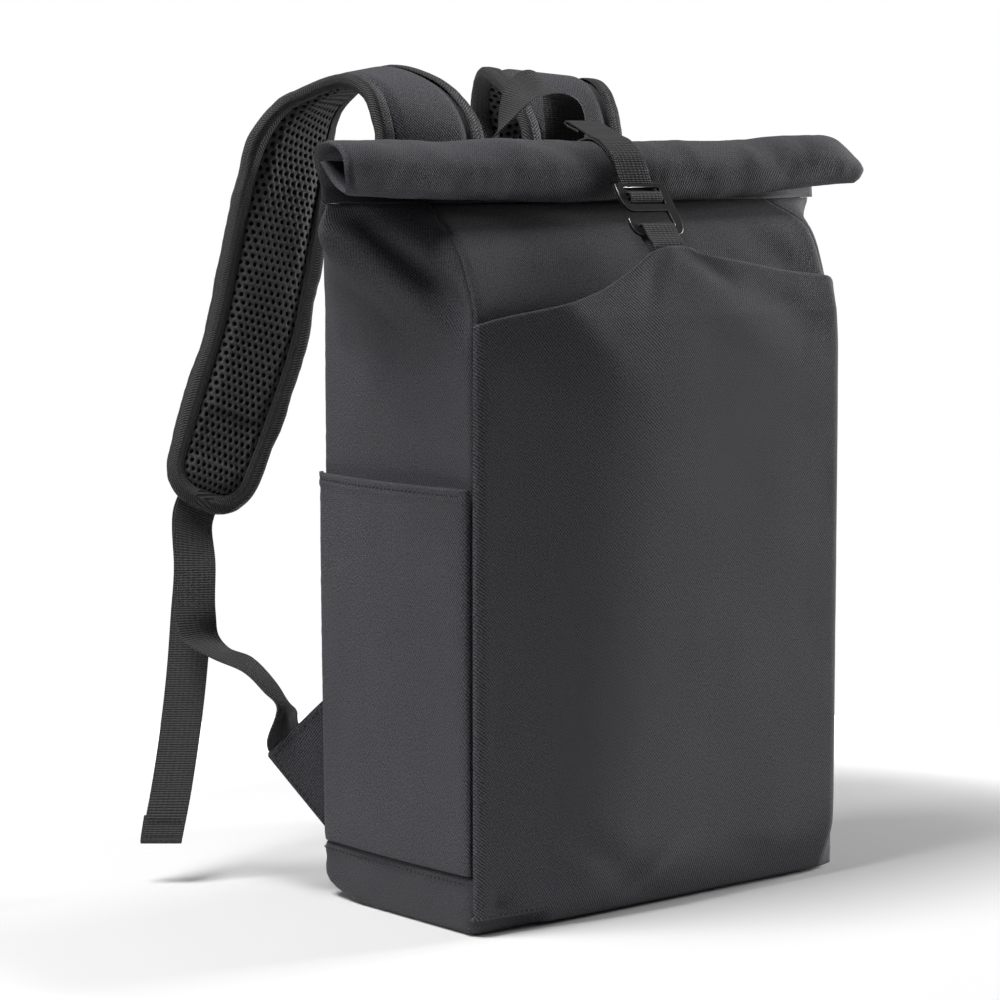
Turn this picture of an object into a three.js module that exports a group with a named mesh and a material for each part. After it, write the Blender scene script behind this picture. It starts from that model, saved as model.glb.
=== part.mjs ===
// A roll-top laptop backpack that stands on its base, with its collar rolled shut.
// Units are millimetres and +Z is up. The front faces -Y and the wearer's back is on the +Y side.
// The origin is the centre of the base, where it rests on the floor.
import * as THREE from "three";

// Body
const BODY_WIDTH = 290; // seam to seam across the front
const BODY_DEPTH = 145; // front pocket to back panel, at the base
const BODY_HEIGHT = 412; // floor to the seam under the collar
const WING_FLARE = 60; // how far each side folds out beyond the corner at that seam
const FRONT_ROUND = 7; // rounding of the front corners, measured along each wall
const BACK_ROUND = 9; // rounding of the back corners
const WING_CREASE = 7; // rounding of the fold in each side, at the top
const FRONT_CROWN = 0.8; // how far the front panel swells in the middle
const BACK_CROWN = 3; // how far the back pad swells in the middle
const CLOTH = 1.8; // coated polyester wall
const BACK_PAD = 7; // foam back panel
const BASE_CLOTH = 2.6; // doubled cloth of the base
const BASE_HEIGHT = 31; // height of the base seam on the sides
const BASE_ROUND = 6; // rounding between the base and the walls
const BASE_SAG = 3.5; // how far the loaded base hangs below the lower corners of the seams
const SEW_GAP = 0.4; // clearance where two sewn pieces meet

// Front pocket
const POCKET_ROOM = 2.8; // space in front of the front panel at the seams, the pocket's own cloth included
const POCKET_SWELL = 8; // how far the pocket stands forward in the middle
const POCKET_FOOT = -1; // height of the pocket's lower edge
const POCKET_ROWS = [0, 0.03, 0.08, 0.2, 0.35, 0.5, 0.65, 0.78, 0.88, 0.95, 1]; // shares of its height

// Side pockets
const SIDE_POCKET_TOP = 253; // height of the mouth
const SIDE_POCKET_CLOTH = 1.5;
const SIDE_POCKET_ROOM = 6; // how far the mouth stands off the side in the middle
const SIDE_POCKET_MARGIN = 1; // columns of the side left uncovered at each seam

// Rolled collar
const COLLAR_WIDTH = 428; // the flattened collar, fold to fold
const COLLAR_CLOTH = 1.2;
const COLLAR_SLIT = 0.6; // between its two layers
const NECK_RISE = 10; // from the seam to where the two layers meet
const ROLL_SIZE = 35; // front to back across the roll

// Webbing
const WEB_WIDTH = 25;
const WEB_THICK = 1.2;
const TAIL_HEM = 16; // folded end of each tail
const STRAP_DRIFT = 7; // how far left of the middle the closure strap crosses the roll

// Closure hook
const HOOK_WIDTH = 40;
const HOOK_LENGTH = 35;
const HOOK_THICK = 2.4;
const HOOK_RAIL = 5; // width of its side rails
const HOOK_LEAN = 32; // degrees that it leans out of the vertical
const HOOK_HEIGHT = BODY_HEIGHT + 10; // height of its top edge

// Shoulder straps
const STRAP_PAD = 9; // thickness in the middle
const STRAP_EDGE = 3; // thickness under the binding
const BINDING_WIDTH = 9;
const BINDING_CLOTH = 0.9;
const BINDING_EASE = 1.4; // clearance between the binding and the pad
const STRAP_ROUND = 22; // corner radius of the lower end
const STRAP_STEPS = 25; // stations above the rounded end
const PAD_COLUMNS = [-1, -0.7, -0.4, 0, 0.4, 0.7, 1]; // places across the pad, as shares of its half width
const PAD_SWELL = 13; // from the edge to where the pad is full

// Haul handle
const HANDLE_SPAN = 65; // between the middles of its feet
const HANDLE_TOP = BODY_HEIGHT + 71; // height of the middle of the crest
const HANDLE_FORWARD = 41; // how far behind the origin the crest leans to
const HANDLE_TILT = 38; // degrees that the crest leans forward
const HANDLE_STEPS = 22; // steps from foot to foot
// How far its width has turned, in degrees, from one foot to the other.
const HANDLE_TURNS = [
  { at: 0.0, turn: 0 },
  { at: 0.08, turn: 8 },
  { at: 0.25, turn: 62 },
  { at: 0.5, turn: 95 },
  { at: 0.75, turn: 138 },
  { at: 0.92, turn: 172 },
  { at: 1.0, turn: 180 },
];

// Ladder locks and anchor tabs
const LOCK_WIDTH = 33;
const LOCK_LENGTH = 26;
const LOCK_THICK = 3;
const LOCK_BAR = 3.2;
const LOCK_TOP = -34; // from the end of the strap up to the top edge of the lock
const TAB_CLOTH = 3; // two layers of cloth with the webbing between them
const TAB_TOP = 116;
const TAB_FOOT = 38;
const TAB_REACH = 35;
const TAB_TIP = 83; // height of its free corner
const TAB_AIM = { x: -0.76, y: 0.65 }; // the way it points out of the corner

// Yoke
const YOKE_HALF = 0.41; // half its length as a share of the back
const YOKE_ROWS = [
  { below: 50, y: 75.5 },
  { below: 35, y: 78.5 },
  { below: 26, y: 79.6 },
  { below: 19, y: 79.8 },
];

// The outline of the body: heights and half sizes as shares of the sizes above.
const BODY_SECTIONS = [
  { at: 0.0, corner: 1.0, front: 1.0, back: 1.0, wing: 0.0 },
  { at: 0.08, corner: 1.0, front: 1.0, back: 1.0, wing: 0.03 },
  { at: 0.45, corner: 1.0, front: 1.0, back: 1.0, wing: 0.06 },
  { at: 0.78, corner: 0.998, front: 1.0, back: 1.0, wing: 0.07 },
  { at: 0.84, corner: 0.993, front: 0.99, back: 0.995, wing: 0.2 },
  { at: 0.92, corner: 0.975, front: 0.8, back: 0.985, wing: 0.68 },
  { at: 0.96, corner: 0.958, front: 0.56, back: 0.88, wing: 0.93 },
  { at: 1.0, corner: 0.94, front: 0.26, back: 0.29, wing: 1.0 },
];
// Heights at which the walls are modelled, closer together where they bend.
const HANDLE_SEAM = 0.955; // where the feet of the handle are sewn
const WEB_SEAM = 0.98; // where the closure strap is sewn
const WALL_ROWS = [0.15, 0.3, 0.45, 0.72, 0.8, 0.85, 0.89, 0.925, HANDLE_SEAM, WEB_SEAM, 1];

// The middle line of the rolled collar, front to back and up, as shares of ROLL_SIZE from the roll's top.
const ROLL_SECTIONS = [
  { at: 0.0, back: 0.76, down: 0.68, swell: 0, left: 0.92, right: 0.92 },
  { at: 0.1, back: 0.62, down: 0.34, swell: 0.2, left: 0.955, right: 0.95 },
  { at: 0.2, back: 0.36, down: 0.09, swell: 0.5, left: 0.985, right: 0.98 },
  { at: 0.3, back: 0.0, down: 0.0, swell: 1, left: 1, right: 0.985 },
  { at: 0.42, back: -0.34, down: 0.12, swell: 1, left: 1, right: 0.95 },
  { at: 0.53, back: -0.5, down: 0.38, swell: 1, left: 1, right: 0.925 },
  { at: 0.62, back: -0.46, down: 0.66, swell: 1, left: 0.99, right: 0.92 },
  { at: 0.7, back: -0.32, down: 0.78, swell: 1, left: 0.98, right: 0.93 },
  { at: 0.78, back: -0.15, down: 0.7, swell: 1, left: 0.98, right: 0.96 },
  { at: 0.89, back: 0.08, down: 0.5, swell: 1, left: 0.98, right: 0.99 },
  { at: 1.0, back: 0.28, down: 0.32, swell: 1, left: 0.98, right: 0.99 },
];
const ROLL_TOP = new THREE.Vector2(-24.5, BODY_HEIGHT + 34.5);
const ROLL_LIFT = 4; // how much higher the roll lies at its right end
const ROLL_STEPS = 19; // steps along the roll
const ROLL_DROOP = 0.22; // how much deeper the roll is in the middle than at its ends

// Route of the left shoulder strap: the middle of the pad, with its height above the seam under the collar,
// the turn and lift of its width in degrees, and its width.
const STRAP_ROUTE = [
  { x: -58, y: 75, above: -26, turn: 0, lift: 0, width: 78 },
  { x: -58, y: 74.5, above: 13, turn: -2, lift: 0, width: 78 },
  { x: -58, y: 77, above: 43, turn: 0, lift: 0, width: 78 },
  { x: -61, y: 94, above: 66, turn: 12, lift: 3, width: 77 },
  { x: -70, y: 124, above: 75, turn: 26, lift: 6, width: 74 },
  { x: -85, y: 150, above: 60, turn: 22, lift: 5, width: 71 },
  { x: -97, y: 160, above: 34, turn: 8, lift: 0, width: 68 },
  { x: -105, y: 162, above: 2, turn: -4, lift: 0, width: 65 },
  { x: -115, y: 161, above: -40, turn: -12, lift: 0, width: 63 },
  { x: -128, y: 159, above: -84, turn: -16, lift: 0, width: 62 },
  { x: -149, y: 157, above: -132, turn: -18, lift: 0, width: 60 },
  { x: -173, y: 156, above: -185, turn: -18, lift: 0, width: 55 },
];

// Route of the left adjuster webbing. Turn and lift aim its width.
const ADJUSTER_RISE = [
  { x: -161, y: 90, z: 112, turn: 40, lift: 0 },
  { x: -163, y: 99, z: 121, turn: 37, lift: 3 },
  { x: -166, y: 118, z: 133, turn: 41, lift: 10 },
  { x: -172, y: 138, z: 138.5, turn: 30, lift: 5 },
  { x: -177, y: 151, z: 147, turn: -2, lift: 4 },
  { x: -179, y: 154, z: 163, turn: -31, lift: 0 },
  { x: -178, y: 155, z: 190, turn: -36, lift: 0 },
];
const ADJUSTER_TAIL = [
  { x: -173, y: 163, z: 190, turn: -36, lift: 0 },
  { x: -175, y: 164, z: 160, turn: -38, lift: 0 },
  { x: -180, y: 162, z: 125, turn: -40, lift: 0 },
  { x: -186, y: 161, z: 90, turn: -40, lift: 0 },
  { x: -195, y: 159, z: 52, turn: -40, lift: 0 },
  { x: -203, y: 158, z: 23, turn: -40, lift: 0 },
];

// Small helpers for tables, curves and directions.
const clamp = THREE.MathUtils.clamp;
const lerp = THREE.MathUtils.lerp;
const smooth = THREE.MathUtils.smoothstep;
const vec = (x, y, z) => new THREE.Vector3(x, y, z);

// One column of a table at a place between its rows, on a curve that never overshoots them.
function column(rows, name, at) {
  const last = rows.length - 2;
  let i = 0;
  while (i < last && at > rows[i + 1].at) i += 1;
  const rise = (k) => (rows[k + 1][name] - rows[k][name]) / (rows[k + 1].at - rows[k].at);
  const slope = (k) => {
    if (k === 0 || k > last) return rise(Math.min(k, last));
    const [a, b] = [rise(k - 1), rise(k)];
    return a * b <= 0 ? 0 : (2 * a * b) / (a + b);
  };
  const span = rows[i + 1].at - rows[i].at;
  const t = clamp((at - rows[i].at) / span, 0, 1);
  const s = 1 - t;
  return (
    rows[i][name] * s * s * (1 + 2 * t) +
    rows[i + 1][name] * t * t * (1 + 2 * s) +
    span * t * s * (slope(i) * s - slope(i + 1) * t)
  );
}

// A closed shell between two grids of points, grid[row][column]. With wrap, the last column meets the first.
function shellBetween(outer, inner, wrap = false) {
  const rows = outer.length;
  const columns = outer[0].length;
  const points = [...outer.flat(), ...inner.flat()];
  const at = (layer, row, col) => (layer * rows + row) * columns + (col % columns);
  const index = [];
  const quad = (a, b, c, d) => index.push(a, b, c, a, c, d);
  const spans = wrap ? columns : columns - 1;
  for (let r = 0; r < rows - 1; r += 1) {
    for (let c = 0; c < spans; c += 1) {
      quad(at(0, r, c), at(0, r, c + 1), at(0, r + 1, c + 1), at(0, r + 1, c));
      quad(at(1, r, c), at(1, r + 1, c), at(1, r + 1, c + 1), at(1, r, c + 1));
    }
  }
  for (let c = 0; c < spans; c += 1) {
    quad(at(1, 0, c), at(1, 0, c + 1), at(0, 0, c + 1), at(0, 0, c));
    quad(at(0, rows - 1, c), at(0, rows - 1, c + 1), at(1, rows - 1, c + 1), at(1, rows - 1, c));
  }
  for (let r = 0; r < rows - 1 && !wrap; r += 1) {
    quad(at(0, r, 0), at(0, r + 1, 0), at(1, r + 1, 0), at(1, r, 0));
    quad(at(1, r, spans), at(1, r + 1, spans), at(0, r + 1, spans), at(0, r, spans));
  }
  return facingOut(points, index);
}

// A closed solid skinned over a list of loops, with a fan over its first loop and its last.
function loftLoops(loops) {
  const count = loops[0].length;
  const points = loops.flat();
  const index = [];
  for (let k = 0; k < loops.length - 1; k += 1) {
    for (let i = 0; i < count; i += 1) {
      const [a, b] = [k * count + i, k * count + ((i + 1) % count)];
      index.push(a, b, b + count, a, b + count, a + count);
    }
  }
  const end = (loops.length - 1) * count;
  for (let i = 1; i < count - 1; i += 1) {
    index.push(0, i + 1, i, end, end + i, end + i + 1);
  }
  return facingOut(points, index);
}

// The geometry of a closed surface, turned round if its faces point inwards.
function facingOut(points, index) {
  let volume = 0;
  const cross = vec(0, 0, 0);
  for (let i = 0; i < index.length; i += 3) {
    const [a, b, c] = [points[index[i]], points[index[i + 1]], points[index[i + 2]]];
    volume += a.dot(cross.crossVectors(b, c));
  }
  if (volume < 0) index.reverse();
  const geometry = new THREE.BufferGeometry().setFromPoints(points);
  geometry.setIndex(index);
  geometry.computeVertexNormals();
  return geometry;
}

// Finishes
const finish = (color, roughness, metalness = 0) =>
  new THREE.MeshStandardMaterial({ color, roughness, metalness, side: THREE.DoubleSide });
const CANVAS = finish(0x3c3b40, 0.85);
const MESH_CLOTH = finish(0x1d1d1f, 0.95);
const TAPE = finish(0x232324, 0.9);
const WEBBING = finish(0x2b2b2c, 0.85);
const METAL = finish(0x1f1f20, 0.4, 0.6);
const PLASTIC = finish(0x161617, 0.5);

// Heights are counted from the lower corners of the seams, which stand above the floor.
const backpack = new THREE.Group();
backpack.position.z = BASE_SAG;

function addPiece(name, geometry, material, parent = backpack) {
  const mesh = new THREE.Mesh(geometry, material);
  mesh.name = name;
  parent.add(mesh);
  return mesh;
}

// The body's outline is a ring of eight rounded corners. Each corner is a quadratic arc of ARC_STEPS steps.
const ARC_STEPS = 4;
const CORNERS = {
  front: 0,
  frontRight: 1,
  wingRight: 2,
  backRight: 3,
  back: 4,
  backLeft: 5,
  wingLeft: 6,
  frontLeft: 7,
};
const FRONT_REACH = BODY_DEPTH / 2 - POCKET_ROOM;

function bodyRing(share) {
  const value = (name) => column(BODY_SECTIONS, name, share);
  const corner = (BODY_WIDTH / 2) * value("corner");
  const front = -FRONT_REACH * value("front");
  const back = (BODY_DEPTH / 2) * value("back");
  const wing = value("wing");
  const tip = corner + WING_FLARE * wing;
  const middle = (front + back) / 2;
  const calm = 1 - wing;
  const half = [
    { x: 0, y: front - FRONT_CROWN * calm, soft: corner * 0.72 },
    { x: corner, y: front, soft: FRONT_ROUND },
    { x: tip, y: middle, soft: lerp((back - front) * 0.2, WING_CREASE, wing) },
    { x: corner, y: back, soft: BACK_ROUND },
    { x: 0, y: back + BACK_CROWN * calm, soft: corner * 0.72 },
  ];
  const mirrored = [half[3], half[2], half[1]].map((p) => ({ ...p, x: -p.x }));
  const points = [...half, ...mirrored];
  return points.flatMap((p, i) => {
    const before = points[(i + points.length - 1) % points.length];
    const after = points[(i + 1) % points.length];
    return cornerArc(p, before, after, share * BODY_HEIGHT);
  });
}

// One rounded corner of a ring. Its rounding is limited by the walls that it joins.
function cornerArc(p, before, after, z) {
  const towards = (q) => {
    const length = Math.hypot(q.x - p.x, q.y - p.y);
    const reach = Math.min(p.soft, Math.max(length - q.soft, length * 0.45)) * 0.98;
    return new THREE.Vector2(lerp(p.x, q.x, reach / length), lerp(p.y, q.y, reach / length));
  };
  const arc = new THREE.QuadraticBezierCurve(towards(before), new THREE.Vector2(p.x, p.y), towards(after));
  return arc.getPoints(ARC_STEPS).map((q) => vec(q.x, q.y, z));
}

// Outward normals of a wrapped grid of rings.
function ringNormals(rings) {
  return rings.map((ring, r) => {
    const above = rings[Math.min(r + 1, rings.length - 1)];
    const below = rings[Math.max(r - 1, 0)];
    return ring.map((_, c) => {
      const along = ring[(c + 1) % ring.length].clone().sub(ring[(c + ring.length - 1) % ring.length]);
      const up = above[c].clone().sub(below[c]);
      return along.cross(up).setZ(0).normalize();
    });
  });
}

const mouthShare = SIDE_POCKET_TOP / BODY_HEIGHT;
const wallShares = [(BASE_HEIGHT + SEW_GAP) / BODY_HEIGHT, ...WALL_ROWS, mouthShare].sort((a, b) => a - b);
const wallRings = wallShares.map(bodyRing);
const wallNormals = ringNormals(wallRings);

// The columns of the ring between two corners, from the middle of one arc to the middle of the next.
function wallColumns(from, to) {
  const arc = ARC_STEPS + 1;
  const start = from * arc + ARC_STEPS / 2;
  const end = to * arc + ARC_STEPS / 2;
  const total = wallRings[0].length;
  const length = (end - start + total) % total;
  return Array.from({ length: length + 1 }, (_, k) => (start + k) % total);
}

// Draws the first and last points of a row in by half the sewing gap.
function trimEnds(row, gap) {
  const pull = (p, q) => p.clone().add(q.clone().sub(p).setLength(gap / 2));
  const last = row.length - 1;
  return row.map((p, i) => {
    if (i === 0) return pull(p, row[1]);
    return i === last ? pull(p, row[last - 1]) : p;
  });
}

// One wall of the body, of the given thickness inside the outline.
function wall(from, to, thickness) {
  const columns = wallColumns(from, to);
  const face = (depth) =>
    wallRings.map((ring, r) =>
      trimEnds(
        columns.map((c) => ring[c].clone().addScaledVector(wallNormals[r][c], -depth)),
        SEW_GAP,
      ),
    );
  return shellBetween(face(0), face(thickness));
}

function addWalls() {
  addPiece("front_panel", wall(CORNERS.frontLeft, CORNERS.frontRight, CLOTH), CANVAS);
  addPiece("side_panel_right", wall(CORNERS.frontRight, CORNERS.backRight, CLOTH), CANVAS);
  addPiece("back_panel", wall(CORNERS.backRight, CORNERS.backLeft, BACK_PAD), MESH_CLOTH);
  addPiece("side_panel_left", wall(CORNERS.backLeft, CORNERS.frontLeft, CLOTH), CANVAS);
}

// The base is a shallow tray. Its lower edge is a quarter round that ends in the flat face it rests on.
function addBase() {
  const tray = (depth) => {
    const levels = [1, 0.55, 0];
    const straight = levels.map((share) => {
      return { z: lerp(BASE_ROUND - BASE_SAG, BASE_HEIGHT, share), inset: 0 };
    });
    const turns = [0.25, 0.5, 0.75, 1].map((share) => {
      const angle = (share * Math.PI) / 2;
      const z = BASE_ROUND * (1 - Math.sin(angle)) - BASE_SAG;
      return { z, inset: BASE_ROUND * (1 - Math.cos(angle)) };
    });
    return [...straight, ...turns].map(({ z, inset }) =>
      bodyRing(Math.max(z, 0) / BODY_HEIGHT).map((p) => {
        const shrinkX = 1 - (inset + depth) / (BODY_WIDTH / 2);
        const shrinkY = 1 - (inset + depth) / (BODY_DEPTH / 2);
        const lift = depth * (1 - (z + BASE_SAG) / (BASE_HEIGHT + BASE_SAG));
        return vec(p.x * shrinkX, p.y * shrinkY, z + lift);
      }),
    );
  };
  addPiece("base_panel", loftLoops([...tray(0).reverse(), ...tray(BASE_CLOTH)]), CANVAS);
}

// A point on the outside of the front or back wall, at a share of the way from one seam to the other.
function wallPoint(from, to, share, z) {
  const ring = bodyRing(clamp(z / BODY_HEIGHT, 0, 1));
  const points = wallColumns(from, to).map((c) => ring[c]);
  const lengths = [0];
  for (let i = 1; i < points.length; i += 1) {
    lengths.push(lengths[i - 1] + points[i].distanceTo(points[i - 1]));
  }
  const target = share * lengths.at(-1);
  let i = 1;
  while (i < points.length - 1 && lengths[i] < target) i += 1;
  const t = (target - lengths[i - 1]) / (lengths[i] - lengths[i - 1]);
  return points[i - 1].clone().lerp(points[i], t).setZ(z);
}

// The pocket's mouth climbs from each side seam to the flat peak where the hook loop is sewn.
const MOUTH = [
  { at: 0.0, below: 67 },
  { at: 0.03, below: 64.5 },
  { at: 0.19, below: 56.5 },
  { at: 0.265, below: 51.5 },
  { at: 0.32, below: 46.5 },
  { at: 0.393, below: 37 },
  { at: 0.457, below: 27.5 },
  { at: 0.5, below: 25.5 },
  { at: 0.55, below: 26 },
  { at: 0.576, below: 29 },
  { at: 0.69, below: 35 },
  { at: 0.85, below: 42.5 },
  { at: 0.945, below: 45.5 },
  { at: 1.0, below: 54 },
];

// Shares of the way across at which the pocket is modelled, closer together at its seams and its peak.
const POCKET_COLUMNS = [
  0, 0.01, 0.03, 0.08, 0.19, 0.265, 0.32, 0.393, 0.457, 0.5,
  0.55, 0.576, 0.69, 0.78, 0.85, 0.92, 0.97, 0.99, 1,
];

// The inner face of the front pocket: it follows the front panel at the seams and stands free between them.
function pocketPoint(share, up, depth) {
  const z = lerp(POCKET_FOOT, BODY_HEIGHT - column(MOUTH, "below", share), up);
  const behind = wallPoint(CORNERS.frontLeft, CORNERS.frontRight, share, z);
  const across = 4 * share * (1 - share);
  const clearance = 1.6 * SEW_GAP;
  const upright = BODY_DEPTH / 2 - CLOTH - 0.5;
  const swell = POCKET_SWELL * across ** 0.6 * smooth(up, 0, 0.1) * (1 - 0.25 * up);
  const forward = Math.max(-behind.y + clearance, upright + swell);
  const seam = smooth(Math.min(share, 1 - share), 0, 0.02);
  const y = lerp(-behind.y + clearance, forward, seam) + depth;
  const spread = (share - 0.5) * 2 * (clearance + depth) * (1 - seam);
  return vec(behind.x + spread, -y, z);
}

function addFrontPocket() {
  const row = (up, depth) => POCKET_COLUMNS.map((share) => pocketPoint(share, up, depth));
  const face = (depth) => POCKET_ROWS.map((up) => row(up, depth));
  addPiece("front_pocket", shellBetween(face(CLOTH), face(0)), CANVAS);
}

// Each side pocket follows its wall and swells open towards the mouth.
function addSidePocket(side, from, to) {
  const columns = wallColumns(from, to).slice(SIDE_POCKET_MARGIN, -SIDE_POCKET_MARGIN);
  const rows = wallShares.filter((share) => share <= mouthShare);
  const face = (depth) =>
    rows.map((share, r) =>
      columns.map((c, k) => {
        const across = Math.sin((Math.PI * k) / (columns.length - 1));
        const swell = SIDE_POCKET_ROOM * across ** 0.7 * smooth(share / mouthShare, -0.1, 0.9);
        return wallRings[r][c].clone().addScaledVector(wallNormals[r][c], SEW_GAP + swell + depth);
      }),
    );
  addPiece(`side_pocket_${side}`, shellBetween(face(SIDE_POCKET_CLOTH), face(0)), CANVAS);
}

// The rolled collar is one flattened tube. Its loops follow the roll's middle line from the seam to the hem.
function rollPoint(share, across) {
  const swell = column(ROLL_SECTIONS, "swell", share);
  const droop = 1 + ROLL_DROOP * swell * (1 - across * across);
  const back = ROLL_SIZE * column(ROLL_SECTIONS, "back", share);
  const down = ROLL_SIZE * column(ROLL_SECTIONS, "down", share) * droop;
  const lift = ROLL_LIFT * smooth(across, 0.3, 0.9);
  return new THREE.Vector2(ROLL_TOP.x + back, ROLL_TOP.y - down + lift);
}

function rollNormal(share, across) {
  const step = 0.01;
  const a = rollPoint(clamp(share - step, 0, 1), across);
  const b = rollPoint(clamp(share + step, 0, 1), across);
  const along = b.sub(a).normalize();
  return new THREE.Vector2(along.y, -along.x);
}

// Where the points of a collar loop lie: across the bag, and on the outer layer, the fold or the inner layer.
const COLLAR_POINTS = [
  { across: -0.64, layer: -1, ring: [CORNERS.frontLeft, 2] },
  { across: -0.3, layer: -1, ring: [CORNERS.front, 0] },
  { across: 0.3, layer: -1, ring: [CORNERS.front, 4] },
  { across: 0.64, layer: -1, ring: [CORNERS.frontRight, 2] },
  { across: 0.985, layer: -0.8, ring: [CORNERS.wingRight, 0] },
  { across: 1, layer: 0, ring: [CORNERS.wingRight, 2] },
  { across: 0.985, layer: 0.8, ring: [CORNERS.wingRight, 4] },
  { across: 0.64, layer: 1, ring: [CORNERS.backRight, 2] },
  { across: 0.3, layer: 1, ring: [CORNERS.back, 0] },
  { across: -0.3, layer: 1, ring: [CORNERS.back, 4] },
  { across: -0.64, layer: 1, ring: [CORNERS.backLeft, 2] },
  { across: -0.985, layer: 0.8, ring: [CORNERS.wingLeft, 0] },
  { across: -1, layer: 0, ring: [CORNERS.wingLeft, 2] },
  { across: -0.985, layer: -0.8, ring: [CORNERS.wingLeft, 4] },
];

function addCollar() {
  const seam = bodyRing(1);
  const seamPoint = ([corner, step]) => seam[corner * (ARC_STEPS + 1) + step];
  const neckShares = [0, 0.35, 0.7];
  const rollShares = Array.from({ length: ROLL_STEPS + 1 }, (_, k) => k / ROLL_STEPS);
  const loop = (share, rise, half, end) =>
    COLLAR_POINTS.map(({ across, layer, ring }) => {
      const middle = rollPoint(share, across);
      const normal = rollNormal(share, across);
      const reach = column(ROLL_SECTIONS, across < 0 ? "left" : "right", share);
      const flat = vec(
        across * (reach * (COLLAR_WIDTH / 2) - end),
        middle.x + normal.x * layer * half,
        middle.y + normal.y * layer * half,
      );
      if (rise === 1) return flat;
      const start = seamPoint(ring);
      const inwards = 1 - end / (BODY_DEPTH / 4);
      const low = vec(start.x * (1 - end / (BODY_WIDTH / 2)), start.y * inwards, BODY_HEIGHT + SEW_GAP);
      return low.lerp(flat, rise);
    });
  const tube = (half, end) => [
    ...neckShares.map((rise) => loop(0, rise, half, end)),
    ...rollShares.map((share) => loop(share, 1, half, end)),
  ];
  const inner = COLLAR_SLIT / 2;
  const outside = tube(inner + COLLAR_CLOTH, 0);
  addPiece("roll_collar", shellBetween(outside, tube(inner, COLLAR_CLOTH), true), CANVAS);
}

// A ribbon swept through stations. Each has its middle, the direction of its width and its width.
function ribbon(stations, profile = [-1, 1], halfThickness = () => WEB_THICK / 2) {
  const last = stations.length - 1;
  const face = (side) =>
    stations.map(({ middle, across, width }, k) => {
      const ahead = stations[Math.min(k + 1, last)].middle;
      const behind = stations[Math.max(k - 1, 0)].middle;
      const normal = ahead.clone().sub(behind).cross(across).normalize();
      return profile.map((place) => {
        const lift = side * halfThickness(place, stations[k]);
        return middle.clone().addScaledVector(across, (place * width) / 2).addScaledVector(normal, lift);
      });
    });
  return shellBetween(face(1), face(-1));
}

// A ribbon of webbing across the Y-Z plane, along the points of a path. It drifts left as it climbs.
function flatWebbing(path, drift = () => 0) {
  const across = vec(1, 0, 0);
  const stations = path.map((p) => ({ middle: vec(-drift(p.y), p.x, p.y), across, width: WEB_WIDTH }));
  return ribbon(stations);
}

// The hook's own frame: down its length, and out of the bag.
const lean = THREE.MathUtils.degToRad(HOOK_LEAN);
const hookDown = new THREE.Vector2(-Math.sin(lean), -Math.cos(lean));
const hookOut = new THREE.Vector2(-Math.cos(lean), Math.sin(lean));
const layerStep = WEB_THICK + SEW_GAP;
const underHook = HOOK_THICK / 2 + SEW_GAP + WEB_THICK / 2;
const rollHalf = COLLAR_SLIT / 2 + COLLAR_CLOTH;
const rollFace = rollHalf + SEW_GAP + WEB_THICK / 2;

// The closure webbing's stops on the hook, measured down from the hook's top edge.
const TOP_BAR = 2.6;
const MIDDLE_BAR = { from: 8, to: 10 };
const FRAME_BAR = { from: 14, to: 18.5 };
const HOOK_BAR = 5.5; // width of the bar in the lower loop

const rollOutside = (share, lift) => {
  const p = rollPoint(share, 0);
  return p.addScaledVector(rollNormal(share, 0), lift);
};

const hookTop = new THREE.Vector2(
  rollOutside(10 / ROLL_STEPS, rollFace + layerStep).x + hookOut.x * underHook,
  HOOK_HEIGHT,
);
const onHook = (down, out) => hookTop.clone().addScaledVector(hookDown, down).addScaledVector(hookOut, out);

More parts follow.
